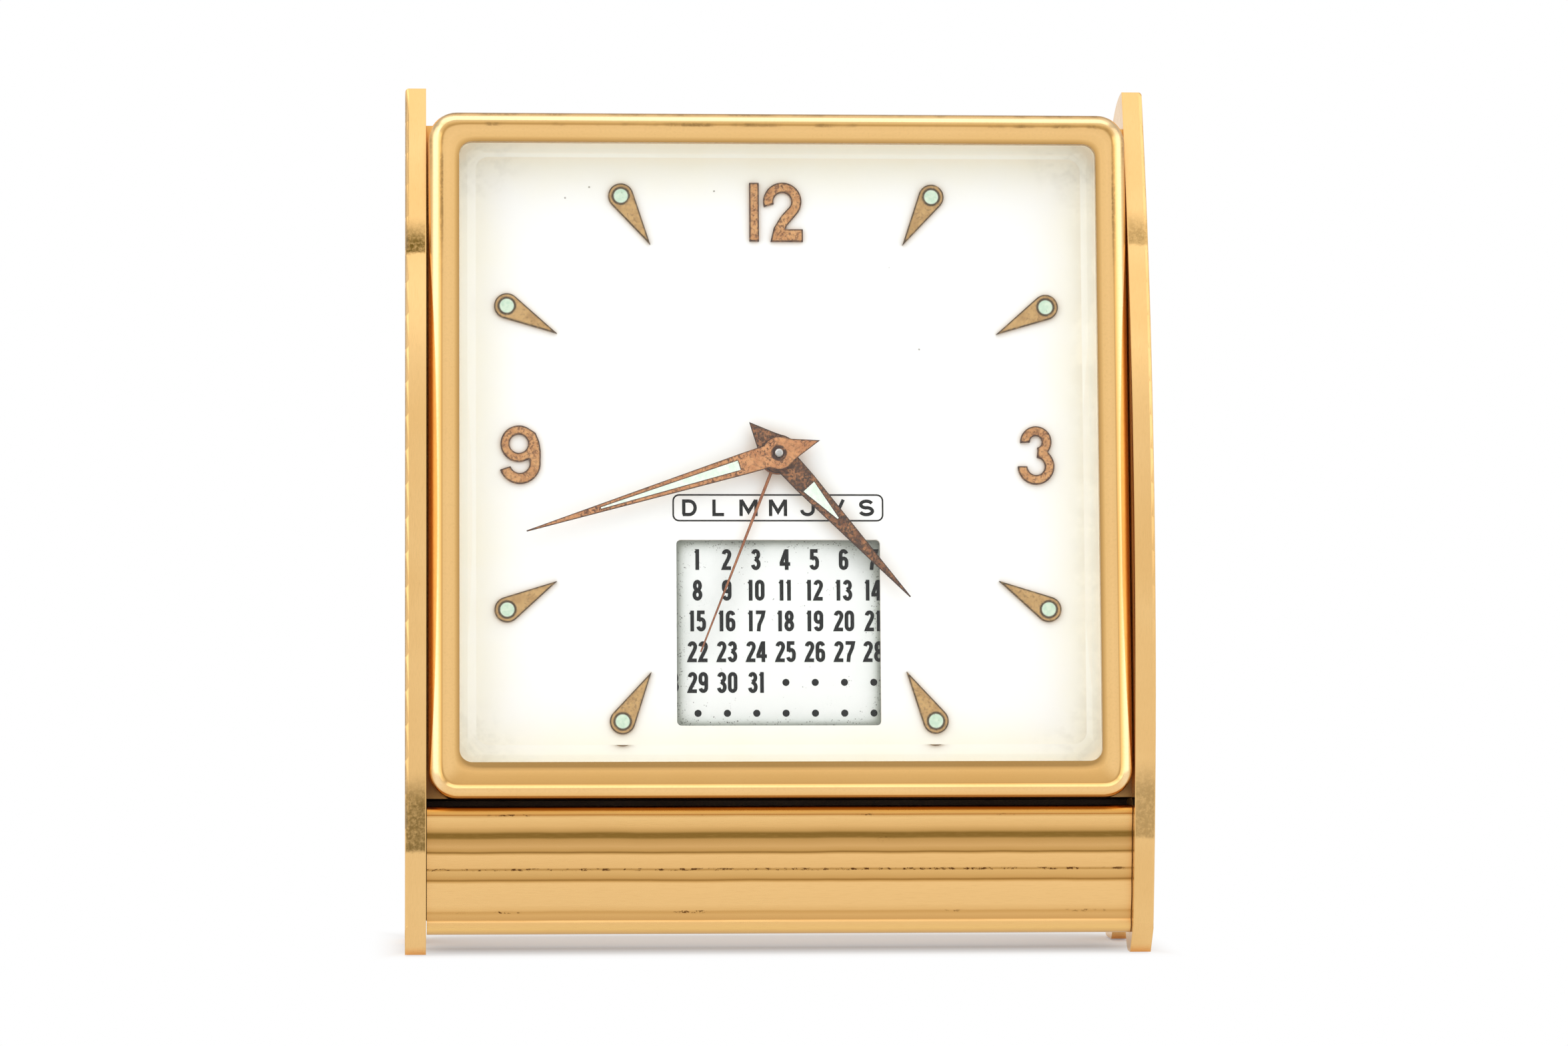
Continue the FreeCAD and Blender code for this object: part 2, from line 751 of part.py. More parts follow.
def turned(points, angle):
    """Points given along and across a hand, turned to its clock angle about the hand axis."""
    spots = []
    for along, across in points:
        x0, z0 = polar(along, angle)
        x1, z1 = polar(across, angle + 90)
        spots.append((x0 + x1, dial_center_height + z0 + z1))
    return spots


def make_hand(name, length, angle, front, width, hub, bore, slot, slot_width):
    """bore is the hole's radius at the front and at the rear of the hand."""
    rear = front + hand_thickness
    middle = front + hand_thickness / 2
    half = width / 2
    blade = slab(turned([(0, -half * 1.1), (slot[0] - 0.6, -half), (length, -0.08), (length, 0.08),
                         (slot[0] - 0.6, half), (0, half * 1.1)], angle), front, rear)
    tail = slab(turned([(-hand_tail, 0), (-hub, -hub * 0.58), (-hub * 0.36, -hub * 0.92), (0, -hub * 0.8),
                        (0, hub * 0.8), (-hub * 0.36, hub * 0.92), (-hub, hub * 0.58)], angle), front, rear)
    body = fuse_all([blade, tail, rod(0, dial_center_height, hub, front, rear)])
    wide = slot_width / 2
    inlay = slab(turned([(slot[0], -wide), (slot[1], -0.1), (slot[1], 0.1), (slot[0], wide)], angle), front, rear)
    body = body.cut(inlay).cut(rod(0, dial_center_height, bore[0], front - 1, middle))
    nodes[name] = body.cut(rod(0, dial_center_height, bore[1], middle, rear + 1)).removeSplitter()
    nodes[name.replace("hand", "lume")] = inlay


def make_hands():
    radii = tube_radii()
    make_hand("minute_hand", minute_hand_length, minute_hand_angle, minute_hand_front, minute_hand_width,
              minute_hand_hub, radii["cannon"], (minute_slot_start, minute_slot_end), minute_slot_width)
    make_hand("hour_hand", hour_hand_length, hour_hand_angle, hour_hand_front, hour_hand_width,
              hour_hand_hub, (radii["hour"][1], radii["hour"][1]), (hour_slot_start, hour_slot_end), hour_slot_width)
    rear = alarm_hand_front + hand_thickness
    half = alarm_hand_width / 2
    needle = slab(turned([(0, -half), (alarm_hand_length, -half * 0.5), (alarm_hand_length, half * 0.5), (0, half)],
                         alarm_hand_angle), alarm_hand_front, rear)
    hub = rod(0, dial_center_height, alarm_hand_hub, alarm_hand_front, rear)
    bore = rod(0, dial_center_height, radii["alarm"][1], alarm_hand_front - 1, rear + 1)
    nodes["alarm_hand"] = fuse_all([needle, hub]).cut(bore).removeSplitter()


# Motion work
center = (0.0, dial_center_height)
cannon_pitch = motion_module * cannon_teeth / 2
minute_wheel_pitch = motion_module * minute_wheel_teeth / 2
motion_distance = cannon_pitch + minute_wheel_pitch
hour_module = 2 * motion_distance / (minute_pinion_teeth + hour_wheel_teeth)
minute_wheel_axis = (motion_distance * math.cos(math.radians(minute_wheel_angle)),
                     dial_center_height + motion_distance * math.sin(math.radians(minute_wheel_angle)))
hand_pinion_distance = motion_module * (minute_wheel_teeth + hand_pinion_teeth) / 2
hand_axis = (minute_wheel_axis[0] + hand_pinion_distance * math.cos(math.radians(minute_wheel_angle)),
             minute_wheel_axis[1] + hand_pinion_distance * math.sin(math.radians(minute_wheel_angle)))
alarm_distance = motion_module * (alarm_wheel_teeth + alarm_pinion_teeth) / 2
alarm_axis = (alarm_distance * math.cos(math.radians(alarm_pinion_angle)),
              dial_center_height + alarm_distance * math.sin(math.radians(alarm_pinion_angle)))
window_bottom = dial_center_height - calendar_window_drop - calendar_window_height
card_bottom = window_bottom - card_overlap
card_top = window_bottom + calendar_window_height + card_overlap
rack_root = card_bottom - rail_clearance
rack_pitch_line = rack_root - tooth_dedendum * rack_module
calendar_pitch = rack_module * calendar_pinion_teeth / 2
calendar_axis = (0.0, rack_pitch_line - calendar_pitch)


def from_axis(start, distance, angle):
    """Axis at a distance from another, at an angle from +x towards +z."""
    return start[0] + distance * math.cos(math.radians(angle)), start[1] + distance * math.sin(math.radians(angle))


time_key_axis = from_axis(center, barrel_module * (barrel_teeth + barrel_pinion_teeth) / 2, barrel_angle)
third_axis = from_axis(center, center_module * (center_wheel_teeth + third_pinion_teeth) / 2, third_angle)
fourth_axis = from_axis(third_axis, third_module * (third_wheel_teeth + fourth_pinion_teeth) / 2, fourth_angle)
escape_axis = from_axis(fourth_axis, fourth_module * (fourth_wheel_teeth + escape_pinion_teeth) / 2, escape_angle)
pallet_axis = from_axis(escape_axis, pallet_distance, pallet_line)
balance_axis = from_axis(pallet_axis, balance_distance, balance_angle)
alarm_key_axis = (alarm_key_offset_x, dial_center_height - alarm_key_offset_z)
strike_axis = from_axis(alarm_key_axis, alarm_barrel_module * (alarm_barrel_teeth + strike_pinion_teeth) / 2, strike_angle)
hammer_axis = (hammer_x, dial_center_height - hammer_drop)
train_axes = (third_axis, fourth_axis, escape_axis, pallet_axis, balance_axis, strike_axis, hammer_axis)
stop_axis = (0.0, dial_center_height + stop_button_height)


def back_shafts():
    return [(hand_axis[0], hand_axis[1], arbor_radius), (alarm_axis[0], alarm_axis[1], arbor_radius),
            (time_key_axis[0], time_key_axis[1], key_arbor_radius),
            (alarm_key_axis[0], alarm_key_axis[1], key_arbor_radius),
            (stop_axis[0], stop_axis[1], stop_stem_radius)]


def make_motion_work():
    radii = tube_radii()
    cx, cz = center
    cannon_in, cannon_out = radii["cannon"]
    hour_in, hour_out = radii["hour"]
    alarm_in, alarm_out = radii["alarm"]
    wheel_rear = minute_wheel_front + minute_wheel_thickness
    tube = rod(cx, cz, cannon_out, minute_hand_front + hand_thickness / 2, wheel_rear + 0.2)
    leaves = gear_slab(cx, cz, cannon_teeth, motion_module, minute_wheel_front, wheel_rear, 0.0)
    bore = rod(cx, cz, cannon_in, minute_hand_front - 2, wheel_rear + 2)
    nodes["cannon_pinion"] = fuse_all([tube, leaves]).cut(bore)
    wx, wz = minute_wheel_axis
    wheel_phase = mesh_phase(center, cannon_pitch, 0.0, minute_wheel_axis, minute_wheel_pitch, motion_module)
    wheel = gear_slab(wx, wz, minute_wheel_teeth, motion_module, minute_wheel_front, wheel_rear, wheel_phase)
    hour_rear = hour_wheel_front + hour_wheel_thickness
    pinion = gear_slab(wx, wz, minute_pinion_teeth, hour_module, hour_wheel_front, minute_wheel_front, 0.0)
    stud_bore = rod(wx, wz, minute_stud_radius + tube_clearance, hour_wheel_front - 1, wheel_rear + 1)
    nodes["minute_wheel"] = fuse_all([wheel, pinion]).cut(stud_bore)
    pinion_pitch = hour_module * minute_pinion_teeth / 2
    hour_pitch = hour_module * hour_wheel_teeth / 2
    hour_phase = mesh_phase(minute_wheel_axis, pinion_pitch, 0.0, center, hour_pitch, hour_module)
    hour_wheel = gear_slab(cx, cz, hour_wheel_teeth, hour_module, hour_wheel_front, hour_rear, hour_phase)
    hour_tube = rod(cx, cz, hour_out, hour_hand_front - 0.15, hour_rear)
    hour_bore = rod(cx, cz, hour_in, hour_hand_front - 1, hour_rear + 1)
    nodes["hour_wheel"] = fuse_all([hour_wheel, hour_tube]).cut(hour_bore)
    alarm_rear = alarm_wheel_front + alarm_wheel_thickness
    alarm_wheel = gear_slab(cx, cz, alarm_wheel_teeth, motion_module, alarm_wheel_front, alarm_rear, 0.0)
    alarm_tube = rod(cx, cz, alarm_out, alarm_hand_front - 0.1, alarm_rear)
    alarm_bore = rod(cx, cz, alarm_in, alarm_hand_front - 1, alarm_rear + 1)
    nodes["alarm_wheel"] = fuse_all([alarm_wheel, alarm_tube]).cut(alarm_bore)
    hx, hz = hand_axis
    hand_pitch = motion_module * hand_pinion_teeth / 2
    hand_phase = mesh_phase(minute_wheel_axis, minute_wheel_pitch, wheel_phase, hand_axis, hand_pitch, motion_module)
    hand_leaves = gear_slab(hx, hz, hand_pinion_teeth, motion_module, minute_wheel_front, wheel_rear, hand_phase)
    hand_arbor = rod(hx, hz, arbor_radius, minute_wheel_front, knob_front + knob_length / 2)
    nodes["hand_setting_arbor"] = fuse_all([hand_leaves, hand_arbor])
    ax, az = alarm_axis
    alarm_wheel_pitch = motion_module * alarm_wheel_teeth / 2
    alarm_pinion_pitch = motion_module * alarm_pinion_teeth / 2
    alarm_phase = mesh_phase(center, alarm_wheel_pitch, 0.0, alarm_axis, alarm_pinion_pitch, motion_module)
    alarm_leaves = gear_slab(ax, az, alarm_pinion_teeth, motion_module, alarm_wheel_front, alarm_rear, alarm_phase)
    alarm_arbor = rod(ax, az, arbor_radius, alarm_wheel_front, knob_front + knob_length / 2)
    nodes["alarm_setting_arbor"] = fuse_all([alarm_leaves, alarm_arbor])


def fluted_knob(x, z, radius, bore):
    """Turned knob with fluted grip and a plain face, drilled half through for its arbor."""
    points = []
    for k in range(knob_flutes):
        mid = 2 * math.pi * k / knob_flutes
        for radius_here, offset in ((radius - knob_flute_depth, -0.35), (radius, -0.18), (radius, 0.18),
                                    (radius - knob_flute_depth, 0.35)):
            a = mid + offset * 2 * math.pi / knob_flutes
            points.append((x + radius_here * math.cos(a), z + radius_here * math.sin(a)))
    collar = rod(x, z, radius * 0.62, knob_front, knob_front + knob_length * 0.3)
    grip = slab(points, knob_front + knob_length * 0.3, knob_front + knob_length)
    return fuse_all([collar, grip]).cut(rod(x, z, bore, knob_front - 1, knob_front + knob_length / 2))


def winding_key(x, z):
    """Butterfly key on the square of a mainspring arbor."""
    hub_rear = knob_front + key_hub_length
    hub = rod(x, z, key_hub_radius, knob_front, hub_rear)
    wing_top = hub_rear + key_wing_width - key_hub_length / 2
    wings = Part.makeBox(2 * key_wing_length, wing_top - knob_front - key_hub_length / 2, key_wing_thickness,
                         Vector(x - key_wing_length, knob_front + key_hub_length / 2, z - key_wing_thickness / 2))
    corners = [e for e in wings.Edges if abs(e.BoundBox.ZLength - key_wing_thickness) < 0.01]
    wings = wings.makeFillet(key_wing_width * 0.3, corners)
    bore = rod(x, z, key_arbor_radius, knob_front - 1, knob_front + key_hub_length / 2)
    return fuse_all([hub, wings]).cut(bore)


def make_back_controls():
    nodes["hand_setting_knob"] = fluted_knob(hand_axis[0], hand_axis[1], knob_radius, arbor_radius)
    nodes["alarm_setting_knob"] = fluted_knob(alarm_axis[0], alarm_axis[1], knob_radius, arbor_radius)
    nodes["calendar_knob"] = fluted_knob(calendar_axis[0], calendar_axis[1], calendar_knob_radius, calendar_shaft_radius)
    plate_rear = front_plate_front + front_plate_thickness
    for name, spot in (("time", time_key_axis), ("alarm", alarm_key_axis)):
        nodes[name + "_barrel_arbor"] = rod(spot[0], spot[1], key_arbor_radius, plate_rear + 0.2,
                                            knob_front + key_hub_length / 2)
        nodes[name + "_winding_key"] = winding_key(spot[0], spot[1])
    x, z = stop_axis
    head_front = cover_rear + stop_travel + 0.4
    stem = rod(x, z, stop_stem_radius, back_plate_front + back_plate_thickness + stop_travel + 0.3, head_front)
    head = rod(x, z, stop_button_radius, head_front, head_front + stop_button_thickness)
    nodes["alarm_stop_button"] = fuse_all([stem, head])


# Calendar
def card_span():
    shown_left = -calendar_window_width / 2 + (calendar_window_width - card_columns_shown * card_pitch_x) / 2
    right = shown_left + card_rest_shift + card_columns_shown * card_pitch_x + card_margin
    left = shown_left + card_rest_shift - (card_columns - card_columns_shown) * card_pitch_x - card_margin
    return left, right


def make_calendar():
    left, right = card_span()
    card_rear = card_front + card_thickness
    slide_rear = card_rear + slide_thickness
    nodes["calendar_card"] = box(left, right, card_front, card_rear, card_bottom, card_top)
    pitch = math.pi * rack_module
    tip = rack_pitch_line - tooth_addendum * rack_module
    half = pitch / 4 * (1 - tooth_slack)
    points = [(left, card_top), (left, rack_root)]
    k = math.ceil((left + half * 1.35) / pitch)
    while k * pitch + half * 1.35 < right:
        mid = k * pitch
        points += [(mid - half * 1.35, rack_root), (mid - half * 0.42, tip),
                   (mid + half * 0.42, tip), (mid + half * 1.35, rack_root)]
        k += 1
    points += [(right, rack_root), (right, card_top)]
    nodes["calendar_slide"] = slab(points, card_rear, slide_rear)
    x, z = calendar_axis
    phase = math.pi / 2 - math.pi / calendar_pinion_teeth
    leaves = gear_slab(x, z, calendar_pinion_teeth, rack_module, card_rear, slide_rear, phase)
    shaft = rod(x, z, calendar_shaft_radius, card_rear, knob_front + knob_length / 2)
    nodes["calendar_shaft"] = fuse_all([leaves, shaft])
    lip_front = slide_rear + rail_clearance
    lip_rear = lip_front + rail_thickness
    upper_low = card_top + rail_clearance
    end_in = front_plate_half - rail_end
    upper = fuse_all([
        box(-front_plate_half, front_plate_half, dial_rear, lip_rear, upper_low, upper_low + rail_height),
        box(-front_plate_half, front_plate_half, lip_front, lip_rear, upper_low - rail_lip, upper_low + 0.01),
    ])
    lower_top = card_bottom - rail_clearance
    keeper_low = card_bottom + rail_clearance
    lower = fuse_all([
        box(-front_plate_half, front_plate_half, dial_rear, card_rear - 0.05, lower_top - rail_height, lower_top),
        box(-front_plate_half, front_plate_half, lip_front, lip_rear, keeper_low, keeper_low + rail_lip),
        box(-front_plate_half, -end_in, dial_rear, lip_rear, lower_top - rail_height, keeper_low + rail_lip),
        box(end_in, front_plate_half, dial_rear, lip_rear, lower_top - rail_height, keeper_low + rail_lip),
    ])
    nodes["calendar_rails"] = Part.makeCompound([upper, lower])


# Movement frame
def make_movement_frame():
    plate_rear = front_plate_front + front_plate_thickness
    half = front_plate_half
    front = rounded_slab(half, front_plate_bottom, front_plate_top, 3.0, front_plate_front, plate_rear)
    holes = [rod(center[0], center[1], center_arbor_radius + arbor_clearance, front_plate_front - 1, plate_rear + 1)]
    for x, z in (hand_axis, alarm_axis):
        holes.append(rod(x, z, arbor_radius + arbor_clearance, front_plate_front - 1, plate_rear + 1))
    holes.append(rod(calendar_axis[0], calendar_axis[1], calendar_shaft_radius + arbor_clearance,
                     front_plate_front - 1, plate_rear + 1))
    for x, z in train_axes:
        holes.append(rod(x, z, train_arbor_radius + train_clearance, front_plate_front - 1, plate_rear + 1))
    stud = rod(minute_wheel_axis[0], minute_wheel_axis[1], minute_stud_radius, hour_wheel_front, front_plate_front)
    nodes["movement_front_plate"] = cut_all(front, holes).fuse(stud).removeSplitter()
    back_rear = back_plate_front + back_plate_thickness
    back = rounded_slab(back_plate_width / 2, back_plate_bottom, back_plate_top, 2.0, back_plate_front, back_rear)
    back_holes = [rod(center[0], center[1], center_arbor_radius + arbor_clearance, back_plate_front - 1, back_rear + 1)]
    for x, z, radius in back_shafts()[:4]:
        back_holes.append(rod(x, z, radius + arbor_clearance, back_plate_front - 1, back_rear + 1))
    for x, z in train_axes:
        back_holes.append(rod(x, z, train_arbor_radius + train_clearance, back_plate_front - 1, back_rear + 1))
    nodes["movement_back_plate"] = cut_all(back, back_holes)
    pillars = []
    screws = []
    for sx in (-1, 1):
        for z in (back_plate_bottom + pillar_inset, back_plate_top - pillar_inset):
            x = sx * (back_plate_width / 2 - pillar_inset)
            pillars.append(rod(x, z, pillar_radius, plate_rear, back_plate_front))
            screws.append(slotted_head(x, z, plate_screw_radius, back_rear, plate_screw_height))
    nodes["movement_pillars"] = Part.makeCompound(pillars)
    nodes["plate_screws"] = Part.makeCompound(screws)
    posts = []
    for sx in (-1, 1):
        for z in (front_plate_bottom + post_inset_z, front_plate_top - post_inset_z):
            posts.append(rod(sx * (half - post_inset_x), z, post_radius, plate_rear, case_rear - case_wall))
    nodes["movement_posts"] = Part.makeCompound(posts)


# Going train
def train_arbor(spot, radius):
    """Arbor whose ends turn in both plates."""
    return rod(spot[0], spot[1], radius, front_plate_front + front_plate_thickness - pivot_depth,
               back_plate_front + min(pivot_depth, back_plate_thickness))


def train_wheel(spot, teeth, module, level, phase, extra):
    """Wheel and its pinion or boss, drilled or not as its extra pieces say."""
    wheel = gear_slab(spot[0], spot[1], teeth, module, level, level + train_wheel_thickness, phase)
    return fuse_all([wheel] + extra)


def train_pinion(spot, teeth, module, wheel_level, phase):
    """Pinion a little wider than the wheel that drives it."""
    spare = (train_pinion_thickness - train_wheel_thickness) / 2
    return gear_slab(spot[0], spot[1], teeth, module, wheel_level - spare, wheel_level - spare + train_pinion_thickness,
                     phase)


def pointed_wheel(spot, teeth, tip, depth, level):
    """Sharp teeth that lean forward in their direction of turn."""
    points = []
    step = 2 * math.pi / teeth
    for k in range(teeth):
        for radius, share in ((tip - depth, 0.0), (tip, 0.75), (tip, 0.85)):
            a = (k + share) * step
            points.append((spot[0] + radius * math.cos(a), spot[1] + radius * math.sin(a)))
    return slab(points, level, level + train_wheel_thickness)


def bar_slab(a, b, width, y0, y1):
    """Straight bar of even width from a to b."""
    length = math.hypot(b[0] - a[0], b[1] - a[1])
    nx, nz = -(b[1] - a[1]) / length * width / 2, (b[0] - a[0]) / length * width / 2
    return slab([(a[0] + nx, a[1] + nz), (b[0] + nx, b[1] + nz), (b[0] - nx, b[1] - nz), (a[0] - nx, a[1] - nz)], y0, y1)


def barrel(spot, teeth, module, phase, drum):
    rear = barrel_level + barrel_rim_thickness
    body = fuse_all([gear_slab(spot[0], spot[1], teeth, module, barrel_level, rear, phase),
                     rod(spot[0], spot[1], drum, rear, rear + drum_depth)])
    return body.cut(rod(spot[0], spot[1], key_arbor_radius + arbor_clearance, barrel_level - 1, rear + drum_depth + 1))


def make_train():
    pin_front = minute_hand_front - 0.2 - pin_proud
    arbor = rod(center[0], center[1], center_arbor_radius, pin_front, back_plate_front + back_plate_thickness)
    tip = [e for e in arbor.Edges if e.BoundBox.YMax < pin_front + 0.01]
    nodes["center_arbor"] = arbor.makeFillet(center_arbor_radius * 0.5, tip)
    leaves = train_pinion(center, barrel_pinion_teeth, barrel_module, barrel_level, 0.0)
    wheel = train_wheel(center, center_wheel_teeth, center_module, center_wheel_level, 0.0, [
        rod(center[0], center[1], 1.6, center_wheel_level - 0.6, center_wheel_level + 0.1)])
    bore = rod(center[0], center[1], center_arbor_radius, barrel_level - 2, back_plate_front)
    nodes["center_wheel"] = Part.makeCompound([leaves.cut(bore), wheel.cut(bore)])
    pinion_pitch = barrel_module * barrel_pinion_teeth / 2
    barrel_pitch = barrel_module * barrel_teeth / 2
    phase = mesh_phase(center, pinion_pitch, 0.0, time_key_axis, barrel_pitch, barrel_module)
    nodes["time_barrel"] = barrel(time_key_axis, barrel_teeth, barrel_module, phase, drum_radius)
    phase = 0.0
    before = center
    for name, spot, wheel_teeth, module, level, next_teeth, next_module, next_level in (
            ("third_wheel", third_axis, center_wheel_teeth, center_module, center_wheel_level,
             third_wheel_teeth, third_module, third_wheel_level),
            ("fourth_wheel", fourth_axis, third_wheel_teeth, third_module, third_wheel_level,
             fourth_wheel_teeth, fourth_module, fourth_wheel_level)):
        leaves_here = third_pinion_teeth if name == "third_wheel" else fourth_pinion_teeth
        turn = mesh_phase(before, module * wheel_teeth / 2, phase, spot, module * leaves_here / 2, module)
        nodes[name] = train_wheel(spot, next_teeth, next_module, next_level, 0.0, [
            train_pinion(spot, leaves_here, module, level, turn), train_arbor(spot, train_arbor_radius)])
        before = spot
    turn = mesh_phase(fourth_axis, fourth_module * fourth_wheel_teeth / 2, 0.0, escape_axis,
                      fourth_module * escape_pinion_teeth / 2, fourth_module)
    nodes["escape_wheel"] = fuse_all([
        pointed_wheel(escape_axis, escape_teeth, escape_tip_radius, escape_tooth_depth, escape_level),
        train_pinion(escape_axis, escape_pinion_teeth, fourth_module, fourth_wheel_level, turn),
        train_arbor(escape_axis, train_arbor_radius)])


def make_balance():
    lever_rear = lever_level + train_wheel_thickness
    pins = [from_axis(escape_axis, pallet_pin_reach, pallet_line + sign * pallet_pin_spread) for sign in (1, -1)]
    pieces = [bar_slab(pallet_axis, pin, lever_width, lever_level, lever_rear) for pin in pins]
    pieces += [rod(pin[0], pin[1], lever_width / 2, lever_level, lever_rear) for pin in pins]
    pieces += [rod(pin[0], pin[1], pallet_pin_radius, escape_level - 0.1, lever_level + 0.1) for pin in pins]
    reach = balance_distance - roller_pin_reach - roller_pin_radius - fork_gap
    pieces.append(bar_slab(pallet_axis, from_axis(pallet_axis, reach, balance_angle), lever_width * 0.7,
                           lever_level, lever_rear))
    fork = from_axis(pallet_axis, reach - lever_width * 0.5, balance_angle)
    ends = [from_axis(fork, lever_width, balance_angle + turn) for turn in (90, -90)]
    pieces.append(bar_slab(ends[0], ends[1], lever_width * 0.6, lever_level, lever_rear))
    pieces.append(rod(pallet_axis[0], pallet_axis[1], lever_width, lever_level, lever_rear))
    pieces.append(train_arbor(pallet_axis, train_arbor_radius))
    nodes["pallet_lever"] = fuse_all(pieces)
    bx, bz = balance_axis
    rim_rear = balance_level + balance_thickness
    rim = ring(bx, bz, balance_radius - balance_rim, balance_radius, balance_level, rim_rear)
    arm = bar_slab(from_axis(balance_axis, balance_radius - balance_rim / 2, 20),
                   from_axis(balance_axis, balance_radius - balance_rim / 2, 200), balance_rim, balance_level, rim_rear)
    wheel = fuse_all([rim, arm, rod(bx, bz, collet_radius * 1.3, balance_level, rim_rear)])
    nodes["balance_wheel"] = wheel.cut(rod(bx, bz, staff_radius, balance_level - 1, rim_rear + 1))
    pin = from_axis(balance_axis, roller_pin_reach, balance_angle + 180)
    staff = rod(bx, bz, staff_radius, front_plate_front + front_plate_thickness, back_plate_front)
    nodes["balance_staff"] = fuse_all([
        staff, train_arbor(balance_axis, train_arbor_radius),
        rod(bx, bz, collet_radius, spring_level, spring_level + spring_height),
        rod(bx, bz, roller_radius, lever_level - 0.5, lever_level - 0.1),
        rod(pin[0], pin[1], roller_pin_radius, lever_level - 0.2, lever_rear)])
    outer, inner = [], []
    steps = 24 * spring_turns
    for k in range(steps + 1):
        radius = spring_start + (spring_end - spring_start) * k / steps
        a = 2 * math.pi * k / 24
        for row, r in ((outer, radius + spring_width / 2), (inner, radius - spring_width / 2)):
            row.append((bx + r * math.cos(a), bz + r * math.sin(a)))
    coil = slab(outer + inner[::-1], spring_level, spring_level + spring_height)
    stud = rod(bx + spring_end, bz, spring_stud_radius, spring_level - 0.1, back_plate_front)
    nodes["hairspring"] = fuse_all([coil, stud])


def make_alarm_work():
    barrel_pitch = alarm_barrel_module * alarm_barrel_teeth / 2
    nodes["alarm_barrel"] = barrel(alarm_key_axis, alarm_barrel_teeth, alarm_barrel_module, 0.0, alarm_drum_radius)
    turn = mesh_phase(alarm_key_axis, barrel_pitch, 0.0, strike_axis, alarm_barrel_module * strike_pinion_teeth / 2,
                      alarm_barrel_module)
    nodes["alarm_strike_wheel"] = fuse_all([
        pointed_wheel(strike_axis, strike_teeth, strike_tip_radius, strike_tooth_depth, strike_level),
        train_pinion(strike_axis, strike_pinion_teeth, alarm_barrel_module, barrel_level, turn),
        train_arbor(strike_axis, train_arbor_radius)])
    rear = strike_level + train_wheel_thickness
    span = math.hypot(strike_axis[0] - hammer_axis[0], strike_axis[1] - hammer_axis[1])
    towards = math.degrees(math.atan2(strike_axis[1] - hammer_axis[1], strike_axis[0] - hammer_axis[0]))
    nose = from_axis(hammer_axis, span - strike_tip_radius - hammer_nose_gap, towards)
    head = from_axis(hammer_axis, hammer_reach, 185)
    middle = strike_level + train_wheel_thickness / 2
    nodes["alarm_hammer"] = fuse_all([
        bar_slab(hammer_axis, nose, hammer_arm_width * 0.7, strike_level, rear),
        bar_slab(hammer_axis, head, hammer_arm_width, strike_level, rear),
        rod(hammer_axis[0], hammer_axis[1], hammer_arm_width, strike_level, rear),
        rod(head[0], head[1], hammer_head_radius, middle - hammer_head_length / 2, middle + hammer_head_length / 2),
        train_arbor(hammer_axis, train_arbor_radius)])
    nodes["alarm_gong"] = rod(head[0], head[1] + gong_rise, gong_radius, back_plate_front - gong_length, back_plate_front)


def finish():
    """Tip the clock back on to its feet, centre its footprint on the origin and write each node."""
    lean = math.radians(lean_angle)
    for name in nodes:
        nodes[name] = nodes[name].copy()
        nodes[name].rotate(Vector(0, 0, 0), Vector(1, 0, 0), -lean_angle)
    bounds = FreeCAD.BoundBox()
    for shape in nodes.values():
        bounds.add(shape.optimalBoundingBox(False, False))
    shift = Vector(-bounds.Center.x, -bounds.Center.y, -bounds.ZMin)
    os.makedirs("parts", exist_ok=True)
    for name, shape in nodes.items():
        shape.translate(shift)
        shape.exportStep("parts/" + name + ".step")
    for name, (ax, az) in {"center": center, "minute_wheel": minute_wheel_axis, "hand_setting": hand_axis,
                           "alarm_setting": alarm_axis, "calendar": calendar_axis, "time_key": time_key_axis,
                           "alarm_key": alarm_key_axis, "stop": stop_axis, "third": third_axis,
                           "fourth": fourth_axis, "escape": escape_axis, "pallet": pallet_axis,
                           "balance": balance_axis, "strike": strike_axis, "hammer": hammer_axis}.items():
        y = front_plate_front
        axes[name] = (ax + shift.x, y * math.cos(lean) + az * math.sin(lean) + shift.y,
                      az * math.cos(lean) - y * math.sin(lean) + shift.z)
    print("size", round(bounds.XLength, 2), round(bounds.YLength, 2), round(bounds.ZLength, 2))


make_cheeks()
make_apron()
make_case()
make_cover()
make_bezel()
make_glass()
make_rehaut()
make_dial()
make_markers()
make_numerals()
make_hands()
make_motion_work()
make_back_controls()
make_calendar()
make_movement_frame()
make_train()
make_balance()
make_alarm_work()
finish()
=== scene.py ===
import json
import math
import bmesh
import bpy
from mathutils import Matrix, Vector


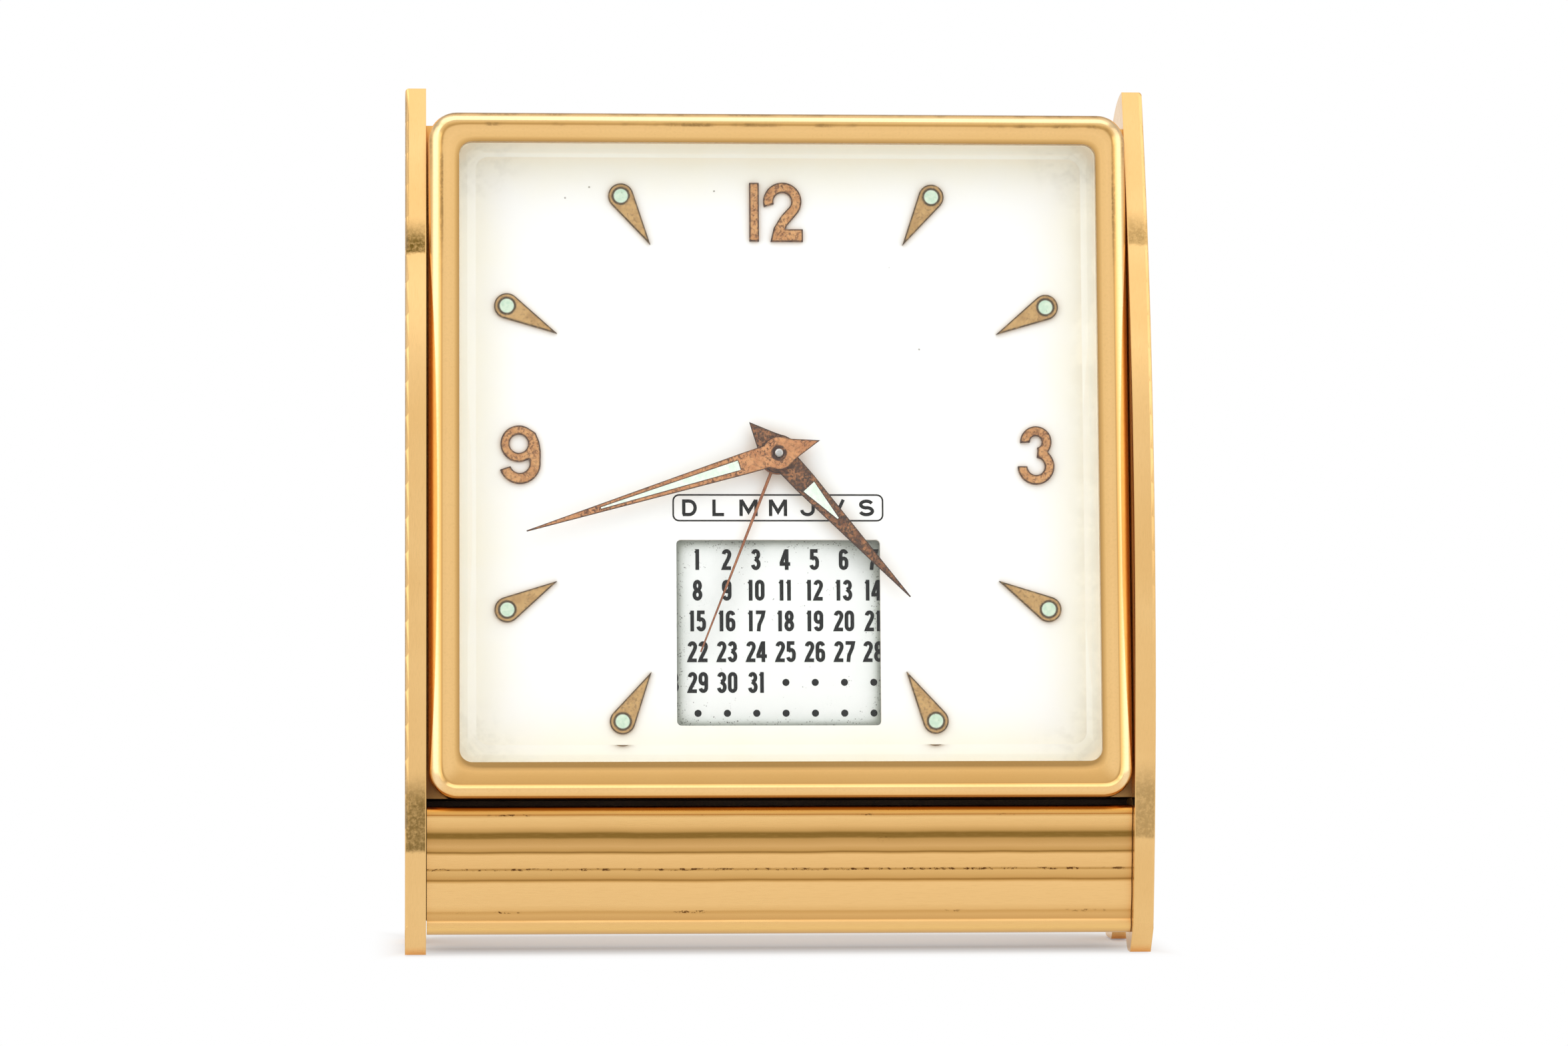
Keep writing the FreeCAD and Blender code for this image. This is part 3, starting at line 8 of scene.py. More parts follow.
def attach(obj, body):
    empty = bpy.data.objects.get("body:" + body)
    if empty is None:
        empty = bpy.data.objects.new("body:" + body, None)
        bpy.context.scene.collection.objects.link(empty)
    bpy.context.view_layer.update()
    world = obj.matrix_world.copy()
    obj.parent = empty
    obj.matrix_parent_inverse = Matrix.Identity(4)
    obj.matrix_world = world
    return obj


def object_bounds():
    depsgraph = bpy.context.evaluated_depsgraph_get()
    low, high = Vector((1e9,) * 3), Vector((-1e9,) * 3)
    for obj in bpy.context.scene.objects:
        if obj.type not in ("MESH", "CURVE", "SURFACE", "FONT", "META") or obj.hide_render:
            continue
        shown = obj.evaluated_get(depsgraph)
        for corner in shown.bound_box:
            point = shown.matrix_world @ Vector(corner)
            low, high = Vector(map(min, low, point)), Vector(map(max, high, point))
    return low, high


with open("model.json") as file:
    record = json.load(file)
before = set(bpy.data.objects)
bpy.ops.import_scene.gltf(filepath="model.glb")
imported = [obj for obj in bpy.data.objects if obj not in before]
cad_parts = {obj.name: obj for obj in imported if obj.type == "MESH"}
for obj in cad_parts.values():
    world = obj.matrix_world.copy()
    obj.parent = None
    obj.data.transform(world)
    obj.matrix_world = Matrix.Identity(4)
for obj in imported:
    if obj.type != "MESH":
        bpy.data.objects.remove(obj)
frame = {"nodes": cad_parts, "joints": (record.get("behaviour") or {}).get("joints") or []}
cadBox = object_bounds()
clockNodes = frame["nodes"]
mm = 0.001

# the dial leans back; x is right and z up along it from the hands' axis, depth is behind the front, in mm
lean = math.radians(7)
handAxis = Vector(next(j for j in frame["joints"] if j["name"] == "minute_hand_turn")["pos_m"])
axisDepth = 12.0
leanTurn = Matrix.Rotation(-lean, 4, "X")


def onDial(x, z, depth):
    return handAxis + leanTurn @ Vector((x * mm, (depth - axisDepth) * mm, z * mm))


def colour(r, g, b):
    # screen values 0-255 to linear light
    def one(v):
        v /= 255
        return v / 12.92 if v <= 0.04045 else ((v + 0.055) / 1.055) ** 2.4
    return (one(r), one(g), one(b), 1)


class Finish:
    # one material and the short calls that build its nodes; lengths are in mm
    def __init__(self, name):
        self.material = bpy.data.materials.new(name)
        self.material.use_nodes = True
        self.tree = self.material.node_tree
        self.shader = self.tree.nodes["Principled BSDF"]
        self.place = self.add("ShaderNodeTexCoord").outputs["Object"]

    def add(self, kind, **settings):
        node = self.tree.nodes.new(kind)
        for key, value in settings.items():
            setattr(node, key, value)
        return node

    def give(self, socket, value):
        if isinstance(value, bpy.types.NodeSocket):
            self.tree.links.new(value, socket)
        else:
            socket.default_value = value

    def set(self, **values):
        # shader sockets by their names without spaces
        for key, value in values.items():
            for socket in self.shader.inputs:
                if socket.name.replace(" ", "").lower() == key.lower():
                    self.give(socket, value)

    def stretched(self, scale):
        node = self.add("ShaderNodeMapping")
        node.inputs["Scale"].default_value = scale
        self.give(node.inputs["Vector"], self.place)
        return node.outputs[0]

    def dialPlace(self):
        # mm right of, behind and above the hands' axis, along the leaning dial
        node = self.add("ShaderNodeMapping", vector_type="TEXTURE")
        node.inputs["Location"].default_value = handAxis
        node.inputs["Rotation"].default_value = (-lean, 0, 0)
        node.inputs["Scale"].default_value = (mm, mm, mm)
        self.give(node.inputs["Vector"], self.place)
        split = self.add("ShaderNodeSeparateXYZ")
        self.give(split.inputs[0], node.outputs[0])
        return split.outputs[0], split.outputs[1], split.outputs[2]

    def noise(self, size, detail=3, rough=0.55, at=None):
        # size is the width of a patch
        node = self.add("ShaderNodeTexNoise")
        self.give(node.inputs["Vector"], at or self.place)
        node.inputs["Scale"].default_value = 1 / (size * mm)
        node.inputs["Detail"].default_value = detail
        node.inputs["Roughness"].default_value = rough
        return node.outputs[0]

    def cells(self, size):
        node = self.add("ShaderNodeTexVoronoi")
        self.give(node.inputs["Vector"], self.place)
        node.inputs["Scale"].default_value = 1 / (size * mm)
        return node.outputs[0]

    def specks(self, pitch, size, cloud, start, end):
        # round specks, thick where a cloud of that width is dense
        lot = self.ramp(self.noise(cloud, 2, 0.7), start, end)
        return self.ramp(self.calc("SUBTRACT", self.calc("MULTIPLY", lot, size), self.cells(pitch)), 0.0,
                         0.05)

    def ramp(self, value, low, high, start=0.0, end=1.0):
        node = self.add("ShaderNodeMapRange", interpolation_type="SMOOTHSTEP")
        self.give(node.inputs["Value"], value)
        node.inputs["From Min"].default_value = low
        node.inputs["From Max"].default_value = high
        node.inputs["To Min"].default_value = start
        node.inputs["To Max"].default_value = end
        return node.outputs[0]

    def bands(self, value, stops):
        # colours by a value from 0 to 1
        node = self.add("ShaderNodeValToRGB")
        strip = node.color_ramp
        while len(strip.elements) < len(stops):
            strip.elements.new(0.5)
        for element, (at, shade) in zip(strip.elements, sorted(stops)):
            element.position = at
            element.color = colour(*shade)
        self.give(node.inputs[0], value)
        return node.outputs[0]

    def calc(self, kind, a, b=0.0, clamp=False):
        node = self.add("ShaderNodeMath", operation=kind, use_clamp=clamp)
        self.give(node.inputs[0], a)
        self.give(node.inputs[1], b)
        return node.outputs[0]

    def mix(self, share, a, b, kind="MIX"):
        node = self.add("ShaderNodeMix", data_type="RGBA", blend_type=kind)
        self.give(node.inputs[0], share)
        self.give(node.inputs[6], a)
        self.give(node.inputs[7], b)
        return node.outputs[2]

    def corners(self, reach, samples=6):
        # 1 in a tight corner, 0 in the open
        node = self.add("ShaderNodeAmbientOcclusion", samples=samples)
        node.inputs["Distance"].default_value = reach * mm
        return self.calc("SUBTRACT", 1.0, node.outputs["AO"], clamp=True)

    def edges(self, reach):
        # 1 along a sharp edge, 0 on the flats; the part must be thicker than the reach
        node = self.add("ShaderNodeAmbientOcclusion", samples=8, inside=True, only_local=True)
        node.inputs["Distance"].default_value = reach * mm
        return self.ramp(node.outputs["AO"], 0.96, 0.7)

    def bump(self, height, depth, after=None):
        node = self.add("ShaderNodeBump")
        node.inputs["Distance"].default_value = depth * mm
        self.give(node.inputs["Height"], height)
        if after is not None:
            self.give(node.inputs["Normal"], after)
        return node.outputs[0]


def insideFrame(f, look):
    # how far a point lies inside the outer edge of the head, with round corners
    x, y, z = f.dialPlace()
    middle = (look["top"] + look["bottom"]) / 2
    inX = f.calc("SUBTRACT", look["halfWidth"], f.calc("ABSOLUTE", x))
    inZ = f.calc("SUBTRACT", (look["top"] - look["bottom"]) / 2,
                 f.calc("ABSOLUTE", f.calc("SUBTRACT", z, middle)))
    inside = f.calc("SMOOTH_MIN", inX, inZ)
    inside.node.inputs[2].default_value = look["corner"]
    return x, y, z, inX, inZ, inside


def agedMetal(name, look, paint=None):
    # a gilt or bare metal: soft drift, drawn streaks, specks, dust and painted shade in the corners, and dark
    # edges
    f = Finish(name)
    drift = f.noise(look["driftSize"], 2, 0.5)
    base = f.mix(f.ramp(drift, 0.3, 0.7), colour(*look["colour"]), colour(*look["shade"]))
    if paint:
        base = paint(f, base, look)
    streak = f.noise(look["streakSize"], 3, 0.6, at=f.stretched(look["streak"]))
    base = f.mix(f.ramp(streak, 0.45, 0.78, 0, look["streakShare"]), base, colour(*look["streakColour"]))
    specks = f.specks(look["speckPitch"], look["speckSize"], look["speckCloud"], *look["speckFrom"])
    base = f.mix(f.calc("MULTIPLY", specks, look["speckShare"]), base, colour(*look["speck"]))
    # dust with painted shade in the corners and gaps, where the metal also goes duller; on the cheeks and
    # bezel its orange colour is a painted reflection of the gilt inside the narrow gaps, and on the case it
    # is a painted near-black shade deep under the head
    grime = f.ramp(f.corners(look["grimeReach"]), look["grimeFrom"], 0.97, 0, look["grimeShare"])
    dust = colour(*look["grime"])
    # higher up the case, the gaps take a painted orange reflection of the gilt instead
    if "upperGrime" in look:
        dust = f.mix(f.ramp(f.dialPlace()[2], -46, -41), dust, colour(*look["upperGrime"]))
    base = f.mix(grime, base, dust)
    if look["edgeShare"]:
        rim = f.calc("MULTIPLY", f.edges(look["edgeReach"]),
                     f.ramp(f.noise(4, 2), 0.3, 0.6, 0.5, look["edgeShare"]))
        base = f.mix(rim, base, colour(*look["edge"]))
    rough = f.calc("ADD", f.ramp(drift, 0.3, 0.7, *look["rough"]),
                   f.ramp(streak, 0.3, 0.8, 0, look["streakRough"]))
    rough = f.calc("ADD", rough, f.calc("MULTIPLY", f.calc("MAXIMUM", specks, grime), 0.25), clamp=True)
    waves = f.bump(f.noise(look["waveSize"], 1, 0.4), look["waveDepth"])
    marks = f.bump(streak, look["streakDepth"], after=waves)
    pits = f.bump(f.calc("SUBTRACT", 1.0, specks), look["pitDepth"], after=marks)
    dull = f.calc("SUBTRACT", look["metallic"], f.calc("MULTIPLY", grime, look["dustDull"]), clamp=True)
    f.set(BaseColor=base, Metallic=dull, Roughness=rough, Normal=pits)
    return f.material


# the dark brown in the corners is dust with painted shade
gilt = dict(colour=(238, 196, 133), shade=(231, 187, 122), streakColour=(204, 158, 92), speck=(120, 78, 34),
            grime=(150, 92, 34), edge=(196, 148, 80), driftSize=16, streak=(1, 1, 1), streakSize=0.5,
            streakShare=0.3,
            streakRough=0.05, streakDepth=0.001, speckPitch=0.7, speckSize=0.22, speckCloud=5,
            speckFrom=(0.6, 0.85),
            speckShare=0.8, grimeReach=1.6, grimeFrom=0.3, grimeShare=0.9, edgeReach=0.2, edgeShare=0.0,
            rough=(0.2, 0.27), waveSize=7, waveDepth=0.006, pitDepth=0.006, metallic=1.0, dustDull=0.3)


def cheekPaint(f, base, look):
    # olive bands across the front faces of both cheeks, partly tarnish and partly a painted reflection of
    # something dark
    x, y, z = f.dialPlace()
    cloud = f.calc("MULTIPLY", f.calc("SUBTRACT", f.noise(1.6, 4, 0.7), 0.5), 1.2)
    height = f.calc("ADD", f.calc("SUBTRACT", z, f.ramp(x, -1, 1, 0, look["rightShift"])), cloud)
    across = f.calc("ABSOLUTE", x)
    onEdge = f.calc("MULTIPLY", f.ramp(across, *look["outerFace"]), f.ramp(across, *look["innerFace"]))
    onEdge = f.calc("MULTIPLY", onEdge, f.ramp(y, *look["frontOnly"]))
    for low, high, share in look["smudges"]:
        band = f.calc("MULTIPLY", f.ramp(height, low[0], low[1]), f.ramp(height, high[1], high[0]))
        mottle = f.ramp(f.noise(0.5, 4, 0.7), 0.3, 0.62, 0.55, 1.0)
        side = f.calc("MULTIPLY", f.ramp(x, -1, 1, share, share * look["rightShare"]), onEdge)
        base = f.mix(f.calc("MULTIPLY", f.calc("MULTIPLY", band, mottle), side), base,
                     colour(*look["olive"]))
    return base


def bezelPaint(f, base, look):
    # painted highlights and dark painted reflection lines along the rolled edge, the groove line and the flat
    # band inside it, with painted shade darker along the bottom and stains near the top
    x, y, z, inX, inZ, inside = insideFrame(f, look)
    low = f.ramp(z, -30, -42)
    front = f.ramp(y, look["paintDepth"], look["paintDepth"] - 1.2)
    sides = f.bands(f.calc("DIVIDE", inside, look["bandWidth"]), look["sideStops"])
    bottom = f.bands(f.calc("DIVIDE", inside, look["bandWidth"]), look["bottomStops"])
    isBottom = f.calc("MULTIPLY", low, f.ramp(f.calc("SUBTRACT", inX, inZ), -1.5, 1.5))
    rings = f.mix(isBottom, sides, bottom)
    patchy = f.ramp(f.noise(7, 3, 0.6), 0.44, 0.6)
    line = f.calc("MULTIPLY", f.ramp(inside, 0.75, 0.2), f.ramp(z, 36, 42))
    groove = f.calc("MULTIPLY", f.ramp(f.calc("ABSOLUTE", f.calc("SUBTRACT", inside, look["grooveAt"])),
                                       0.35, 0.08),
                    f.ramp(z, 20, 34))
    worn = f.calc("MULTIPLY", f.calc("MULTIPLY", f.calc("MAXIMUM", line, groove), patchy),
                  f.ramp(y, *look["stainDepth"]))
    rings = f.mix(f.calc("MULTIPLY", worn, f.ramp(f.noise(0.5, 3, 0.7), 0.35, 0.55, 0.4, 1.0)), rings,
                  colour(*look["stain"]))
    return f.mix(f.calc("MULTIPLY", front, look["paintShare"]), base, rings)


def apronPaint(f, base, look):
    # each rib has its own tone with painted highlights and dark painted reflection bands, painted shade under
    # the bezel, and dark dusty joints
    x, y, z = f.dialPlace()
    share = f.calc("DIVIDE", f.calc("SUBTRACT", z, look["bottom"]), look["top"] - look["bottom"])
    wobble = f.calc("MULTIPLY", f.calc("SUBTRACT", f.noise(9, 2), 0.5), 0.012)
    ribs = f.bands(f.calc("ADD", share, wobble), look["stops"])
    front = f.ramp(y, look["paintDepth"], look["paintDepth"] - 2)
    base = f.mix(f.calc("MULTIPLY", front, look["paintShare"]), base, ribs)
    dust = f.calc("MULTIPLY", f.ramp(f.noise(0.45, 3, 0.75, at=f.stretched((0.5, 1, 1))), 0.52, 0.6), front)
    for joint, reach, lot in look["dusty"]:
        near = f.ramp(f.calc("ABSOLUTE", f.calc("SUBTRACT", share, joint)), reach, reach * 0.3)
        patchy = f.ramp(f.noise(8, 2, 0.6), 0.62 - lot * 0.3, 0.72 - lot * 0.3)
        base = f.mix(f.calc("MULTIPLY", f.calc("MULTIPLY", near, dust), patchy), base,
                     colour(*look["dust"]))
    return base


headEdge = dict(halfWidth=46.9, top=45.7, bottom=-46.35)
# painted highlights, dark painted reflection lines and shade across the bezel's profile, from the outer edge
# to the glass; the bottom is painted darker
bezelPaintedReflections = dict(
    sideStops=[(0.0, (170, 112, 46)), (0.07, (220, 170, 100)), (0.2, (251, 223, 176)),
               (0.28, (250, 220, 170)), (0.36, (226, 180, 110)),
               (0.42, (172, 128, 60)), (0.47, (236, 192, 128)), (0.62, (241, 198, 134)),
               (0.82, (236, 192, 126)),
               (0.9, (206, 162, 96)), (1.0, (150, 112, 58))],
    bottomStops=[(0.0, (150, 98, 36)), (0.08, (236, 188, 118)), (0.2, (244, 200, 138)),
                 (0.36, (242, 198, 134)),
                 (0.42, (196, 148, 80)), (0.48, (204, 157, 88)), (0.7, (216, 168, 98)),
                 (0.86, (230, 182, 112)),
                 (0.94, (206, 160, 96)), (1.0, (150, 112, 58))])
# painted highlights and dark painted reflection bands on each rib from bottom to top, with dark joints, and
# painted shade with an orange reflection under the bezel at the top
apronPaintedReflections = [(0.0, (214, 172, 112)), (0.03, (236, 193, 122)), (0.09, (231, 186, 122)),
              (0.1, (208, 160, 96)),
              (0.14, (219, 172, 106)), (0.165, (206, 158, 92)), (0.18, (228, 182, 116)),
              (0.22, (237, 193, 128)),
              (0.39, (238, 194, 129)), (0.402, (214, 166, 98)), (0.415, (150, 106, 46)),
              (0.428, (206, 158, 92)),
              (0.455, (215, 170, 104)), (0.487, (222, 177, 111)), (0.498, (176, 130, 66)),
              (0.512, (232, 186, 120)),
              (0.61, (237, 192, 127)), (0.622, (206, 160, 94)), (0.633, (140, 100, 44)),
              (0.645, (200, 154, 88)),
              (0.68, (215, 169, 106)), (0.735, (190, 146, 84)), (0.75, (138, 104, 48)),
              (0.782, (134, 100, 44)),
              (0.8, (196, 152, 88)), (0.84, (228, 182, 116)), (0.905, (238, 195, 129)),
              (0.925, (204, 156, 90)),
              (0.945, (228, 172, 92)), (0.97, (220, 156, 68)), (0.985, (186, 118, 36)),
              (1.0, (120, 68, 16))]

metals = {
    # drawn sides with two olive bands across them, partly tarnish and partly painted reflection, and a
    # painted orange reflection of the gilt in their corners and gaps; heights from the hands' axis
    "cheekGilt": ({**gilt, "streak": (1, 0.06, 0.05), "streakSize": 0.05, "olive": (98, 76, 28),
                   "rightShare": 0.6, "rightShift": 1.5,
                   "outerFace": (49.98, 49.8), "innerFace": (47.22, 47.4), "frontOnly": (10, 6),
                   "waveDepth": 0.01,
                   "grime": (226, 154, 66), "grimeShare": 1.0, "dustDull": 1.0, "grimeFrom": 0.2,
                   "edgeShare": 0.5, "edge": (222, 176, 108), "speckPitch": 1.1, "rough": (0.17, 0.23),
                   "smudges": [((26.3, 26.9), (27.6, 32.0), 1.0), ((-53.6, -53.0), (-47.5, -42.4), 0.85)]},
                   cheekPaint),
    # the bezel's orange corners and gaps are a painted reflection of the gilt
    "bezelGilt": ({**gilt, **headEdge, **bezelPaintedReflections, "corner": 4.0, "bandWidth": 4.1, "paintDepth": 5.0,
                   "grooveAt": 1.75, "stain": (120, 88, 42), "stainDepth": (-9.0, -10.0),
                   "paintShare": 0.75, "streakSize": 0.3, "streakShare": 0.14, "grimeReach": 0.9,
                   "grimeFrom": 0.45,
                   "grime": (222, 150, 62), "grimeShare": 0.9, "dustDull": 1.0, "speckPitch": 0.6,
                   "speckFrom": (0.66, 0.9), "rough": (0.16, 0.22)}, bezelPaint),
    "apronGilt": ({**gilt, "top": -47.2, "bottom": -63.95, "stops": apronPaintedReflections, "paintDepth": 9.0,
                   "paintShare": 1.0,
                   "dusty": [(0.498, 0.014, 1.0), (0.925, 0.01, 0.2), (0.165, 0.014, 0.2),
                             (0.7, 0.1, -0.1)],
                   "dust": (86, 48, 18), "streak": (0.03, 0.6, 0.6), "streakSize": 0.05, "streakShare": 0.2,
                   "grimeReach": 0.7, "grimeFrom": 0.6, "grimeShare": 0.3, "rough": (0.24, 0.3),
                   "waveDepth": 0.003}, apronPaint),
    # case and cover, duller; the case has a painted near-black shade deep under the head and a painted orange
    # reflection of the gilt higher in the gaps
    "caseBrass": ({**gilt, "colour": (230, 180, 106), "shade": (216, 164, 90), "rough": (0.28, 0.38),
                   "grime": (40, 16, 3),
                   "upperGrime": (226, 156, 66), "dustDull": 1.0, "grimeReach": 7.0, "grimeFrom": 0.25,
                   "grimeShare": 1.0, "streak": (0.05, 0.5, 0.5),
                   "streakSize": 0.05}, None),
    "coverBrass": ({**gilt, "colour": (226, 184, 112), "shade": (210, 166, 96), "rough": (0.26, 0.36),
                    "streak": (0.5, 0.5, 0.04), "streakSize": 0.05, "streakShare": 0.45}, None),
    "knobGilt": ({**gilt, "rough": (0.2, 0.3), "grimeReach": 0.8, "driftSize": 5, "edgeShare": 0.5,
                  "edge": (246, 214, 156)}, None),
    "movementBrass": ({**gilt, "colour": (222, 188, 116), "shade": (204, 166, 96), "rough": (0.24, 0.34),
                       "streak": (0.6, 0.6, 0.05), "streakSize": 0.03, "driftSize": 7, "grimeReach": 0.8},
                       None),
    "plateNickel": ({**gilt, "colour": (208, 204, 192), "shade": (186, 180, 166),
                     "streakColour": (160, 154, 140),
                     "speck": (110, 98, 80), "grime": (60, 52, 40), "rough": (0.24, 0.34),
                     "streak": (0.05, 0.6, 0.6),
                     "streakSize": 0.03}, None),
    "pinSteel": ({**gilt, "edge": (110, 84, 62), "edgeReach": 0.2, "edgeShare": 0.7,
                  "colour": (206, 206, 204), "shade": (176, 175, 172), "streakColour": (140, 138, 132),
                  "speck": (104, 92, 78), "grime": (46, 32, 22), "rough": (0.18, 0.26), "driftSize": 2,
                  "streakSize": 0.1, "speckPitch": 0.3, "grimeReach": 0.6}, None),
    "springSteel": ({**gilt, "colour": (92, 104, 140), "shade": (66, 76, 116), "streakColour": (50, 54, 80),
                     "speck": (50, 46, 50), "grime": (30, 28, 34), "rough": (0.2, 0.28), "driftSize": 3,
                     "streakSize": 0.1, "speckPitch": 0.4, "grimeReach": 0.5}, None),
    "screwSteel": ({**gilt, "colour": (190, 188, 182), "shade": (156, 152, 144),
                    "streakColour": (130, 124, 116),
                    "speck": (96, 76, 54), "grime": (40, 32, 24), "rough": (0.22, 0.32), "driftSize": 1.6,
                    "streakSize": 0.08, "speckPitch": 0.4}, None),
}
finishes = {name: agedMetal(name, look, paint) for name, (look, paint) in metals.items()}


def tarnished(name, look):
    # the dial's own metal trim: matt, blotched and pitted, with dark rims and painted shade at their feet
    f = Finish(name)
    blotch = f.noise(look["blotchSize"], 4, 0.65)
    base = f.mix(f.ramp(blotch, 0.4, 0.62), colour(*look["colour"]), colour(*look["shade"]))
    fine = f.noise(0.16, 4, 0.75)
    base = f.mix(f.ramp(fine, 0.5, 0.72, 0, look["fineShare"]), base, colour(*look["shade"]))
    rust = f.calc("MULTIPLY", f.ramp(f.noise(look["rustSize"], 4, 0.75), *look["rustFrom"]),
                  f.ramp(f.noise(2.6, 2, 0.5), 0.3, 0.6, look["rustLow"], 1.0))
    base = f.mix(f.calc("MULTIPLY", rust, look["rustShare"]), base, colour(*look["rust"]))
    rim = f.calc("MULTIPLY", f.edges(look["rimReach"]), f.ramp(f.noise(0.5, 2, 0.6), 0.25, 0.5, 0.45, 1.0))
    # painted shade where each piece stands on the dial
    footShade = f.ramp(f.corners(look["footReach"]), 0.35, 0.9, 0, look["footShare"])
    dark = f.calc("MAXIMUM", f.calc("MULTIPLY", rim, look["rimShare"]), footShade)
    base = f.mix(dark, base, colour(*look["rim"]))
    f.set(BaseColor=base, Metallic=look["metallic"], Roughness=f.ramp(fine, 0.3, 0.7, 0.42, 0.62),
          Normal=f.bump(f.calc("ADD", fine, f.calc("MULTIPLY", rust, -0.8)), 0.012))
    return f.material


trim = dict(blotchSize=1.4, fineShare=0.5, rustSize=0.4, rustFrom=(0.52, 0.62), rustLow=0.2, rustShare=0.7,
            rimReach=0.3, rimShare=1.0, footReach=0.3, footShare=0.7, metallic=0.35)
trims = {
    "markerTan": {**trim, "colour": (206, 166, 106), "shade": (186, 146, 88), "rust": (112, 82, 42),
                  "rim": (66, 46, 20),
                  "rustShare": 0.5},
    "numeralCopper": {**trim, "colour": (218, 164, 106), "shade": (198, 140, 84), "rust": (116, 68, 34),
                      "rim": (60, 32, 14), "rustShare": 0.85, "rustLow": 0.45, "rustFrom": (0.49, 0.58)},
    "minuteCopper": {**trim, "colour": (216, 154, 100), "shade": (190, 126, 76), "rust": (92, 52, 28),
                     "rim": (66, 34, 16), "rustLow": 0.35, "rustFrom": (0.5, 0.58), "rustShare": 0.95,
                     "rimReach": 0.22},
    "hourCopper": {**trim, "colour": (176, 116, 68), "shade": (120, 72, 40), "rust": (60, 40, 26),
                   "rim": (54, 30, 18), "rustLow": 0.8, "rustFrom": (0.44, 0.54), "rustShare": 0.95,
                   "rimReach": 0.22},
    "alarmCopper": {**trim, "colour": (178, 112, 66), "shade": (148, 84, 50), "rust": (96, 50, 34),
                    "rim": (110, 62, 36), "rustShare": 0.5, "rimReach": 0.1},
}
for name, look in trims.items():
    finishes[name] = tarnished(name, look)


def dialPaint(look):
    # white paint, cream towards the frame, with worn corners, fly specks, and painted warm shade and dust
    # round the raised parts
    f = Finish("dialPaint")
    x, y, z, inX, inZ, inside = insideFrame(f, look)
    drift = f.calc("MULTIPLY", f.calc("SUBTRACT", f.noise(10, 3, 0.6), 0.5), look["drift"])
    edge = f.calc("ADD", inside, drift)
    base = f.mix(f.ramp(edge, look["creamWidth"], 1.0), colour(*look["paint"]), colour(*look["cream"]))
    base = f.mix(f.ramp(edge, look["edgeWidth"], 0.0), base, colour(*look["edge"]))
    fromCorner = f.ramp(f.calc("ADD", inX, inZ), *look["cornerFade"])
    fromRight = f.ramp(x, *look["rightFade"])
    for place, patch, low, high in ((fromCorner, 2.2, 0.42, 0.66), (fromRight, 3.5, 0.3, 0.6)):
        worn = f.calc("MULTIPLY", place, f.ramp(f.noise(patch, 4, 0.65), low, high))
        base = f.mix(f.calc("MULTIPLY", worn, look["bloomShare"]), base, colour(*look["bloom"]))
    specks = f.specks(look["speckPitch"], look["speckSize"], 3.0, 0.54, 0.8)
    base = f.mix(f.calc("MULTIPLY", specks, look["speckShare"]), base, colour(*look["speck"]))
    # painted warm shade, tinted like light reflected off the metal, round the raised parts and along the
    # frame
    base = f.mix(f.ramp(f.corners(look["haloReach"]), 0.05, 0.5, 0, 0.6), base, colour(*look["halo"]))
    # dust with painted shade tight against the raised parts
    base = f.mix(f.ramp(f.corners(look["grimeReach"]), 0.3, 0.8, 0, 0.6), base, colour(*look["grime"]))
    f.set(BaseColor=base, Roughness=f.ramp(f.noise(5, 3), 0.3, 0.7, 0.36, 0.5), Metallic=0.0,
          Normal=f.bump(f.noise(0.35, 3, 0.6), 0.002))
    return f.material


finishes["dialPaint"] = dialPaint(dict(
    halfWidth=43.0, top=41.8, bottom=-41.8, corner=3.0, creamWidth=9.5, edgeWidth=3.4, cornerFade=(15, 3),
    rightFade=(38.5, 42.5), drift=5, paint=(254, 254, 252), cream=(255, 252, 237), edge=(254, 249, 230),
    bloom=(206, 204, 192), bloomShare=0.35, speck=(110, 96, 72), speckPitch=2.1, speckSize=0.13,
    speckShare=0.75,
    halo=(250, 232, 208), haloReach=3.0, grime=(150, 104, 62), grimeReach=0.5))


def cardPaper(look):
    # cool white card, grey with painted shade and speckled wherever the dial's window overhangs it
    f = Finish("cardPaper")
    # painted shade under the window's overhang: grey a few mm in, darkest right at the edge
    near = f.calc("ADD", f.corners(look["reach"], 12), f.calc("MULTIPLY",
                                                              f.calc("SUBTRACT", f.noise(2.4, 3), 0.5),
                                                              0.08))
    base = f.mix(f.ramp(near, *look["shadeFrom"]), colour(*look["paper"]), colour(*look["shade"]))
    base = f.mix(f.ramp(near, *look["edgeFrom"]), base, colour(*look["edge"]))
    for pitch, size, low, share in look["specks"]:
        lot = f.ramp(f.calc("ADD", f.noise(2.0, 3, 0.7), f.ramp(near, 0.02, 0.3, 0, 0.2)), low, low + 0.3)
        dots = f.ramp(f.calc("SUBTRACT", f.calc("MULTIPLY", lot, size), f.cells(pitch)), 0.0, 0.06)
        base = f.mix(f.calc("MULTIPLY", dots, share), base, colour(*look["speck"]))
    f.set(BaseColor=base, Roughness=f.ramp(f.noise(0.6, 3), 0.3, 0.7, 0.5, 0.65),
          Normal=f.bump(f.noise(0.25, 4, 0.6), 0.006))
    return f.material


finishes["cardPaper"] = cardPaper(dict(
    reach=4.3, paper=(246, 248, 246), shade=(224, 229, 225), edge=(150, 156, 146), shadeFrom=(0.02, 0.16),
    edgeFrom=(0.14, 0.42), speck=(64, 66, 56), specks=[(0.3, 0.3, 0.48, 0.75), (0.8, 0.16, 0.42, 0.85)]))


# how far dust and painted shade reach from a corner, and the dark rim from an edge, in mm
pasteReach = dict(corner=0.4, rim=0.26)


